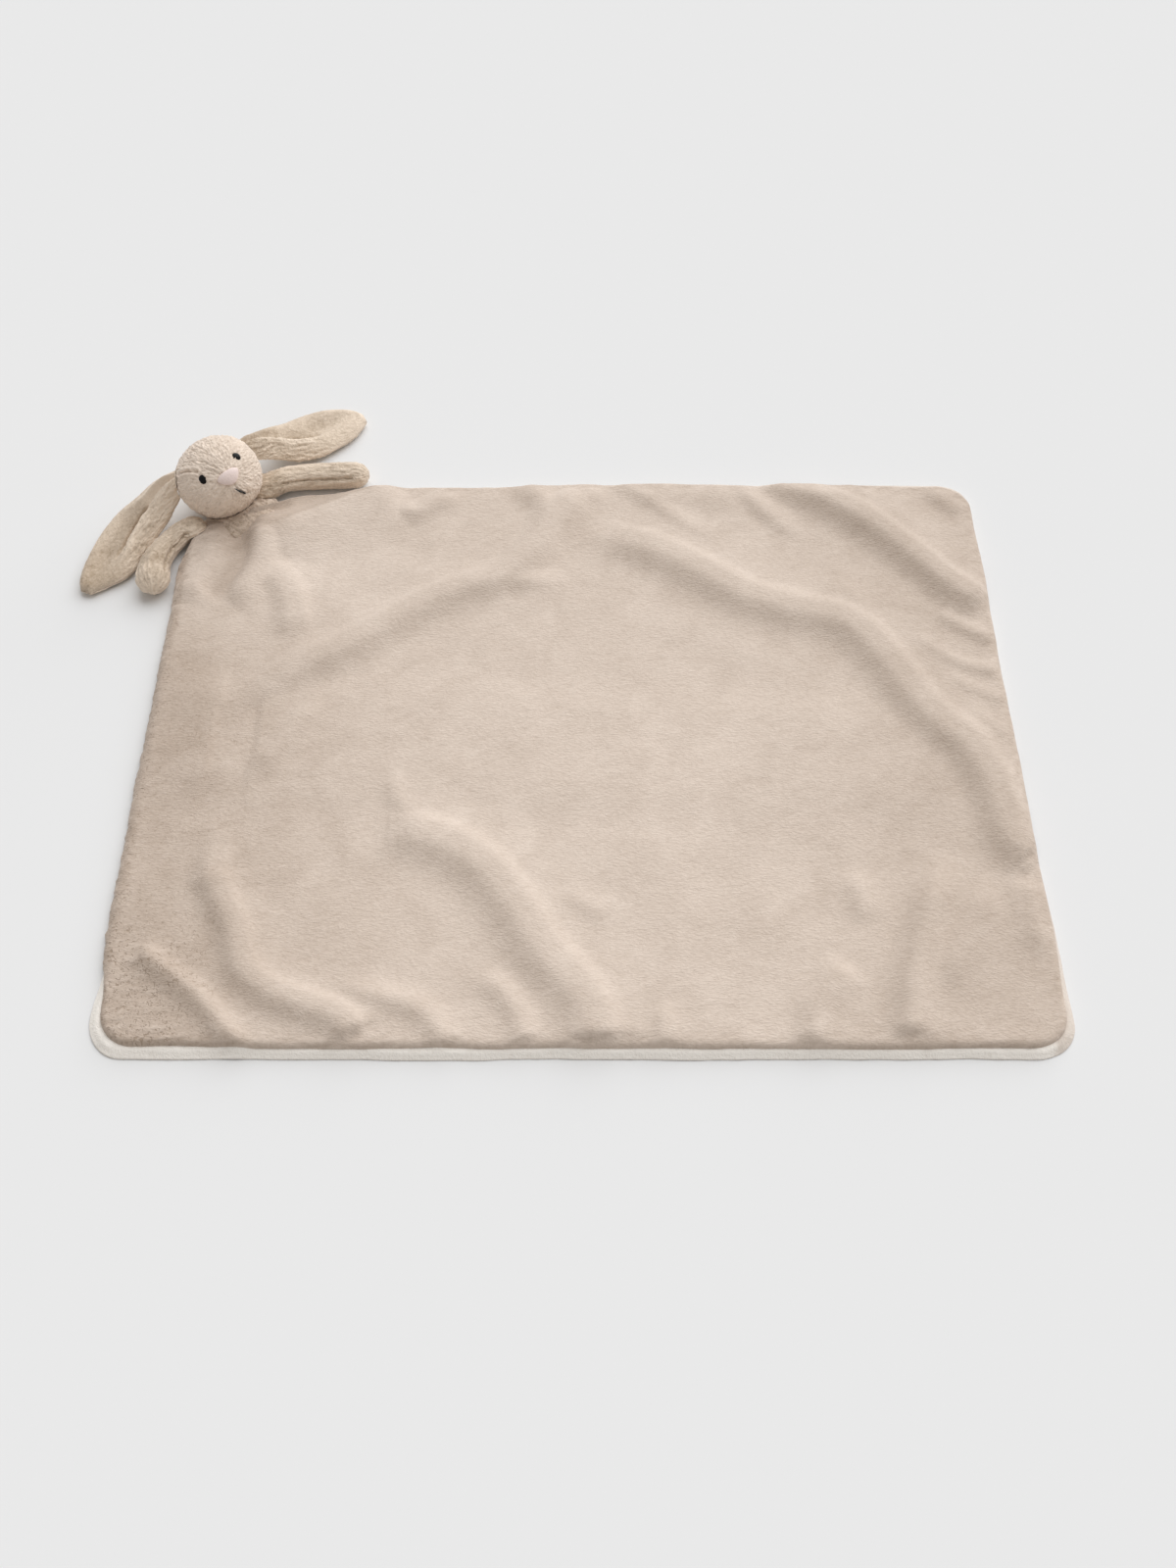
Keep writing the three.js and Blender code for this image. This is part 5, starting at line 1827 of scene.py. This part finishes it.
def arm_cover(name, side):
    around, count, cap = 32, 22, 6
    centres, tangents, sideways, upward, radius = arm_rings(ARM_COURSES[name], side, count)
    angles = np.linspace(0, 2 * math.pi, around, endpoint=False)
    rings = []

    def ring(i, behind, size):
        centre = centres[i] + tangents[i] * behind
        wide = np.cos(angles)[:, None] * sideways[i] * size
        tall = np.sin(angles)[:, None] * upward[i] * size * ARM_FLATNESS
        rings.append(centre + wide + tall)

    for step in range(1, cap):
        angle = step / cap * math.pi / 2
        ring(0, -radius[0] * math.cos(angle), radius[0] * math.sin(angle))
    for i in range(count):
        ring(i, 0, radius[i])
    for step in range(cap - 1, 0, -1):
        angle = step / cap * math.pi / 2
        ring(-1, radius[-1] * math.cos(angle), radius[-1] * math.sin(angle))
    first = centres[0] - tangents[0] * radius[0]
    last = centres[-1] + tangents[-1] * radius[-1]
    piece = tube(f"arm_plush_{name}", np.array(rings), first, last)
    seam_angle = math.radians(35 if side > 0 else 145)
    ring_of = np.tile(angles, len(rings))
    away = np.abs(np.angle(np.exp(1j * (ring_of - seam_angle - math.pi * (side > 0)))))
    pinned = np.concatenate([away < 0.12, [True, True]])
    inflate(piece, pinned, swelling(LIMB_SWELL))
    subdivide(piece, 2)
    points, normals = points_of(piece), normals_of(piece)
    seam = arm_seam(points, centres, sideways, upward, radius, side)
    place_points(piece, points - normals * (1.9 * MM * seam)[:, None])
    nearest = nearest_index(points, centres)
    along = nearest / (count - 1)
    # Painted light and shade at the root, and painted shade in the seam's groove and inside the bend
    tone_and_painted_light = ARM_TONES[name] + ARM_ROOT_PAINTED_LIGHT[name] * smooth(0.4, 0.08, along)
    tone_and_painted_light -= 0.32 * seam + ARM_BEND_SHADES[name] * hump(along - 0.72, 0.1)
    limb_fur(piece, tangents[nearest], 31.7 + side, 1.0, tone_and_painted_light)
    points = points_of(piece)
    points = moved(off_head(points, HEAD_STAND), toy_matrix)
    place_points(piece, over_blanket(points))
    piece.data.materials.append(limb_material())
    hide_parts(f"{name}_arm_top_panel", f"{name}_arm_under_panel")
    bend_at(piece, f"{name}_arm_lift", in_toy((side, 0, 0)) * ARM_BEND)


def nearest_index(points, centres):
    gaps = np.linalg.norm(points[:, None, :] - centres[None, :, :], axis=2)
    return np.argmin(gaps, axis=1)


def arm_seam(points, centres, sideways, upward, radius, side):
    """1 along the arm's lengthwise seam, falling to 0 away from it"""
    nearest = nearest_index(points, centres)
    out = points - centres[nearest]
    across = np.sum(out * sideways[nearest], axis=1)
    up = np.sum(out * upward[nearest], axis=1)
    angle = np.arctan2(up, -side * across)
    away = np.angle(np.exp(1j * (angle - math.radians(30)))) * radius[nearest]
    away = away + 1.3 * MM * noise_at(points, 5 * MM, 17.7)
    share = nearest / (len(centres) - 1)
    return hump(away, 1.1 * MM) * smooth(0.12, 0.25, share) * smooth(1.0, 0.93, share)


def over_blanket(points, gap=0.5 * MM):
    """Lifts what would sink into the blanket's edge so that it rests on it"""
    x, y = points[:, 0], points[:, 1]
    toy_x, toy_y = to_toy(x, y)
    depth = np.minimum(np.minimum(HALF_WIDTH + x, far_edge(x) - y), neck_line(toy_x) - toy_y)
    top = cloth_top(x, y) * smooth(-2 * MM, 5 * MM, depth)
    raised = points.copy()
    raised[:, 2] = np.where(depth > -2 * MM, np.maximum(points[:, 2], top + gap), points[:, 2])
    raised[:, 2] = np.maximum(raised[:, 2], FLOOR_GAP)
    return raised


def far_edge(x):
    return HALF_DEPTH - far_draw(x)


# Chest

CHEST_CREASE = np.array([(2, -8), (13, -11), (21, -12.5), (31, -14.3), (40, -14.5)]) * MM
CHEST_CREASE_DEPTH = 1.6 * MM


def off_arms(points, stand):
    """Moves places of the toy's frame that lie in an arm out to its surface"""
    for name, side in SIDES.items():
        centres, _, _, _, radius = arm_rings(ARM_COURSES[name], side, 40)
        nearest = nearest_index(points, centres)
        away = points - centres[nearest]
        distance = np.linalg.norm(away, axis=1)
        out = np.maximum(distance, radius[nearest] + stand) / np.maximum(distance, 1e-9)
        points = centres[nearest] + away * out[:, None]
    return points


def chest():
    piece = icosphere("chest_plush", 4)
    directions = points_of(piece)
    place_points(piece, directions * np.array(CHEST_HALF) + np.array(CHEST_CENTRE))
    inflate(piece, directions[:, 1] > 0.6, swelling(LIMB_SWELL))
    subdivide(piece, 1)
    points = points_of(piece)
    x, y = points[:, 0], points[:, 1]
    run = course(CHEST_CREASE, 40)
    beside = y - np.interp(x, run[:, 0], run[:, 1])
    crease = hump(beside, 3.2 * MM) * smooth(4 * MM, 10 * MM, x)
    place_points(piece, points - normals_of(piece) * (CHEST_CREASE_DEPTH * crease)[:, None])
    # Painted shade below the chin over the lower chest, towards the bunny's left, low on its right side and
    # in the crease
    tone_and_painted_light = 0.3 - 0.5 * smooth(-6 * MM, -16 * MM, y) - 0.15 * smooth(0, 14 * MM, x)
    tone_and_painted_light -= 0.9 * crease + 0.35 * hump(x + 12 * MM, 18 * MM) * smooth(-5 * MM, -13 * MM, y)
    limb_fur(piece, np.tile([[0.3, -1.0, 0.0]], (len(tone_and_painted_light), 1)), 44.4, 1.2, tone_and_painted_light)
    points = off_arms(points_of(piece), 0.5 * MM)
    points = off_head(points, HEAD_STAND)
    points[:, 2] = np.maximum(points[:, 2], FLOOR_GAP)
    place_points(piece, moved(points, toy_matrix))
    piece.data.materials.append(fur_material())
    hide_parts("chest_cover")
    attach(piece, "blanket")


# Stuffing and washers, inside

STUFFING = {
    "head_stuffing": "head",
    "chest_stuffing": "blanket",
    "left_arm_stuffing": "left_arm",
    "right_arm_stuffing": "right_arm",
}
ARM_BODIES = ("left_arm", "right_arm")
STUFFING_STEP = 2.5 * MM


@functools.lru_cache
def stuffing_material():
    values = {"Grain Depth": 0.5, "Patch Depth": 0.3, "Grain Scale": 400.0, "Tuft Scale": 180.0}
    return plush_material("Stuffing fibre", srgb(242, 241, 236), srgb(205, 203, 196), values, relief=1.5 * MM)


def stuffing(node, body):
    """A soft lump of fibre in the place of the node's solid"""
    solid = frame["nodes"][node]
    piece = bpy.data.objects.new(f"{node}_fibre", solid.data.copy())
    bpy.context.scene.collection.objects.link(piece)
    piece.data.materials.clear()
    remesh = piece.modifiers.new("Even", "REMESH")
    remesh.mode = "VOXEL"
    remesh.voxel_size = STUFFING_STEP
    soften = piece.modifiers.new("Soft", "SMOOTH")
    soften.iterations = 6
    apply_modifiers(piece)
    points, normals = points_of(piece), normals_of(piece)
    lumps = noise_at(points, 6 * MM, 2.2) * 0.5 - 1.5
    place_points(piece, points + normals * (lumps * MM)[:, None])
    keep_rest(piece, points)
    keep_value(piece, "fur", np.full(len(points), 0.5))
    piece.data.materials.append(stuffing_material())
    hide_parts(node)
    if body in ARM_BODIES:
        side = SIDES[body.removesuffix("_arm")]
        bend_at(piece, f"{body}_lift", in_toy((side, 0, 0)) * ARM_BEND)
    else:
        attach(piece, body)


def washer_material():
    return grained_material("Washer plastic", srgb(238, 238, 236), 700.0, (0.4, 0.15), (0.1 * MM, 0.2))


# Stage

CAMERA_PLACE = (6.7 * MM, -711.1 * MM, 994 * MM)
CAMERA_PITCH = math.radians(56.2)
FOCAL_PIXELS = 1559
PHOTO_HEIGHT_PIXELS = 1600
SENSOR_MM = 36.0
FLOOR_HALF = 6.0


def camera():
    data = bpy.data.cameras.new("Camera")
    data.sensor_fit = "VERTICAL"
    data.sensor_height = SENSOR_MM
    data.lens = FOCAL_PIXELS / PHOTO_HEIGHT_PIXELS * SENSOR_MM
    data.clip_start = 0.01
    data.clip_end = 50
    item = bpy.data.objects.new("Camera", data)
    item.location = CAMERA_PLACE
    item.rotation_euler = (math.pi / 2 - CAMERA_PITCH, 0, 0)
    bpy.context.scene.collection.objects.link(item)
    bpy.context.scene.camera = item


def floor():
    corners = FLOOR_HALF * np.array([(-1, -1, 0), (1, -1, 0), (1, 1, 0), (-1, 1, 0)])
    piece = mesh_object("floor", corners, [(0, 1, 2, 3)], shade_smooth=False)
    material, tree = new_material("Floor")
    colour = bpy.context.scene.comfort_stage.floor_colour
    add_surface(tree, {"Base Color": (*colour, 1), "Roughness": 0.9, "Specular IOR Level": 0.0})
    piece.data.materials.append(material)


# A warm fill and a key cooled by as much, so that both together leave the floor neutral
FILL_TINT = (1.04, 1.0, 0.955)
KEY_TINT = (0.9775, 1.0, 1.0253)
KEY_SPREAD = math.radians(80)


def lights():
    settings = bpy.context.scene.comfort_stage
    key = bpy.data.lights.new("Key", "SUN")
    key.energy = settings.key_level
    key.angle = KEY_SPREAD
    key.color = KEY_TINT
    item = bpy.data.objects.new("Key", key)
    item.rotation_euler = Vector(KEY_TOWARDS).to_track_quat("Z", "Y").to_euler()
    bpy.context.scene.collection.objects.link(item)
    world = bpy.data.worlds.new("World")
    world.use_nodes = True
    tree = world.node_tree
    tree.nodes.clear()
    path = add_node(tree, "ShaderNodeLightPath", (-700, 0)).outputs
    seen = math_node(tree, "MAXIMUM", path["Is Camera Ray"], path["Is Glossy Ray"], (-500, 0))
    seen = math_node(tree, "MAXIMUM", seen, path["Is Transmission Ray"], (-320, 0))
    lit = add_node(
        tree, "ShaderNodeBackground", (-140, 120), {"Color": (*FILL_TINT, 1), "Strength": settings.fill_level}
    )
    backdrop = add_node(
        tree, "ShaderNodeBackground", (-140, -80), {"Color": (*settings.floor_colour, 1), "Strength": 1.0}
    )
    mix = add_node(tree, "ShaderNodeMixShader", (80, 0), {0: seen, 1: lit.outputs[0], 2: backdrop.outputs[0]})
    result = add_node(tree, "ShaderNodeOutputWorld", (280, 0))
    tree.links.new(mix.outputs[0], result.inputs["Surface"])
    bpy.context.scene.world = world


# Operators


class COMFORT_OT_stage(bpy.types.Operator):
    """Sets the floor, the light and the camera"""

    bl_idname = "comfort.stage"
    bl_label = "Stage"

    def execute(self, context):
        context.scene.view_settings.view_transform = "Standard"
        floor()
        lights()
        camera()
        return {"FINISHED"}


class COMFORT_OT_blanket(bpy.types.Operator):
    """Lays the front plush and the back plush with its rolled rim"""

    bl_idname = "comfort.blanket"
    bl_label = "Blanket"

    def execute(self, context):
        front = front_plush()
        front.data.materials.append(front_plush_material())
        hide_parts("front_panel", "front_panel_fold_side")
        back = back_plush()
        back.data.materials.append(back_plush_material())
        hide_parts("back_panel", "back_panel_fold_side")
        for piece in (front, back):
            bend_at(piece, "blanket_fold", (FOLD_REACH, 0, 0))
        return {"FINISHED"}


class COMFORT_OT_chest(bpy.types.Operator):
    """Fills the bunny's chest at the blanket's corner"""

    bl_idname = "comfort.chest"
    bl_label = "Chest"

    def execute(self, context):
        chest()
        return {"FINISHED"}


class COMFORT_OT_head(bpy.types.Operator):
    """Stuffs and furs the head"""

    bl_idname = "comfort.head"
    bl_label = "Head"

    def execute(self, context):
        head_cover()
        return {"FINISHED"}


class COMFORT_OT_face(bpy.types.Operator):
    """Sets the eyes, the nose and the mouth's stitches"""

    bl_idname = "comfort.face"
    bl_label = "Face"

    def execute(self, context):
        for name in SIDES:
            eye(name)
        nose()
        mouth()
        return {"FINISHED"}


class COMFORT_OT_ears(bpy.types.Operator):
    """Sews on the two ears, each a back and a lining"""

    bl_idname = "comfort.ears"
    bl_label = "Ears"

    def execute(self, context):
        ears()
        return {"FINISHED"}


class COMFORT_OT_arms(bpy.types.Operator):
    """Sews on the two arms"""

    bl_idname = "comfort.arms"
    bl_label = "Arms"

    def execute(self, context):
        for name, side in SIDES.items():
            arm_cover(name, side)
        return {"FINISHED"}


class COMFORT_OT_insides(bpy.types.Operator):
    """Fills the stuffed parts and finishes the eyes' washers"""

    bl_idname = "comfort.insides"
    bl_label = "Insides"

    def execute(self, context):
        for node, body in STUFFING.items():
            stuffing(node, body)
        material = washer_material()
        for name in SIDES:
            washer = frame["nodes"][f"{name}_eye_washer"]
            for slot in washer.material_slots:
                slot.material = material
        return {"FINISHED"}


class COMFORT_PT_panel(bpy.types.Panel):
    """Lists the steps and the sizes and colours"""

    bl_idname = "COMFORT_PT_panel"
    bl_label = "Comfort Blanket"
    bl_space_type = "VIEW_3D"
    bl_region_type = "UI"
    bl_category = "Comfort Blanket"

    def draw(self, context):
        for operator in OPERATORS:
            self.layout.operator(operator.bl_idname)
        scene = context.scene
        for settings in (scene.comfort_blanket, scene.comfort_bunny, scene.comfort_stage):
            box = self.layout.box()
            for name in settings.bl_rna.properties.keys():
                if name not in ("rna_type", "name"):
                    box.prop(settings, name)


OPERATORS = (
    COMFORT_OT_stage,
    COMFORT_OT_blanket,
    COMFORT_OT_chest,
    COMFORT_OT_head,
    COMFORT_OT_face,
    COMFORT_OT_ears,
    COMFORT_OT_arms,
    COMFORT_OT_insides,
)
CLASSES = (BlanketSettings, BunnySettings, StageSettings, *OPERATORS, COMFORT_PT_panel)


def register():
    for item in CLASSES:
        bpy.utils.register_class(item)
    bpy.types.Scene.comfort_blanket = PointerProperty(type=BlanketSettings)
    bpy.types.Scene.comfort_bunny = PointerProperty(type=BunnySettings)
    bpy.types.Scene.comfort_stage = PointerProperty(type=StageSettings)


def unregister():
    del bpy.types.Scene.comfort_stage
    del bpy.types.Scene.comfort_bunny
    del bpy.types.Scene.comfort_blanket
    for item in reversed(CLASSES):
        bpy.utils.unregister_class(item)


def main():
    register()
    for operator in OPERATORS:
        group, name = operator.bl_idname.split(".")
        getattr(getattr(bpy.ops, group), name)()


if __name__ == "__main__":
    main()
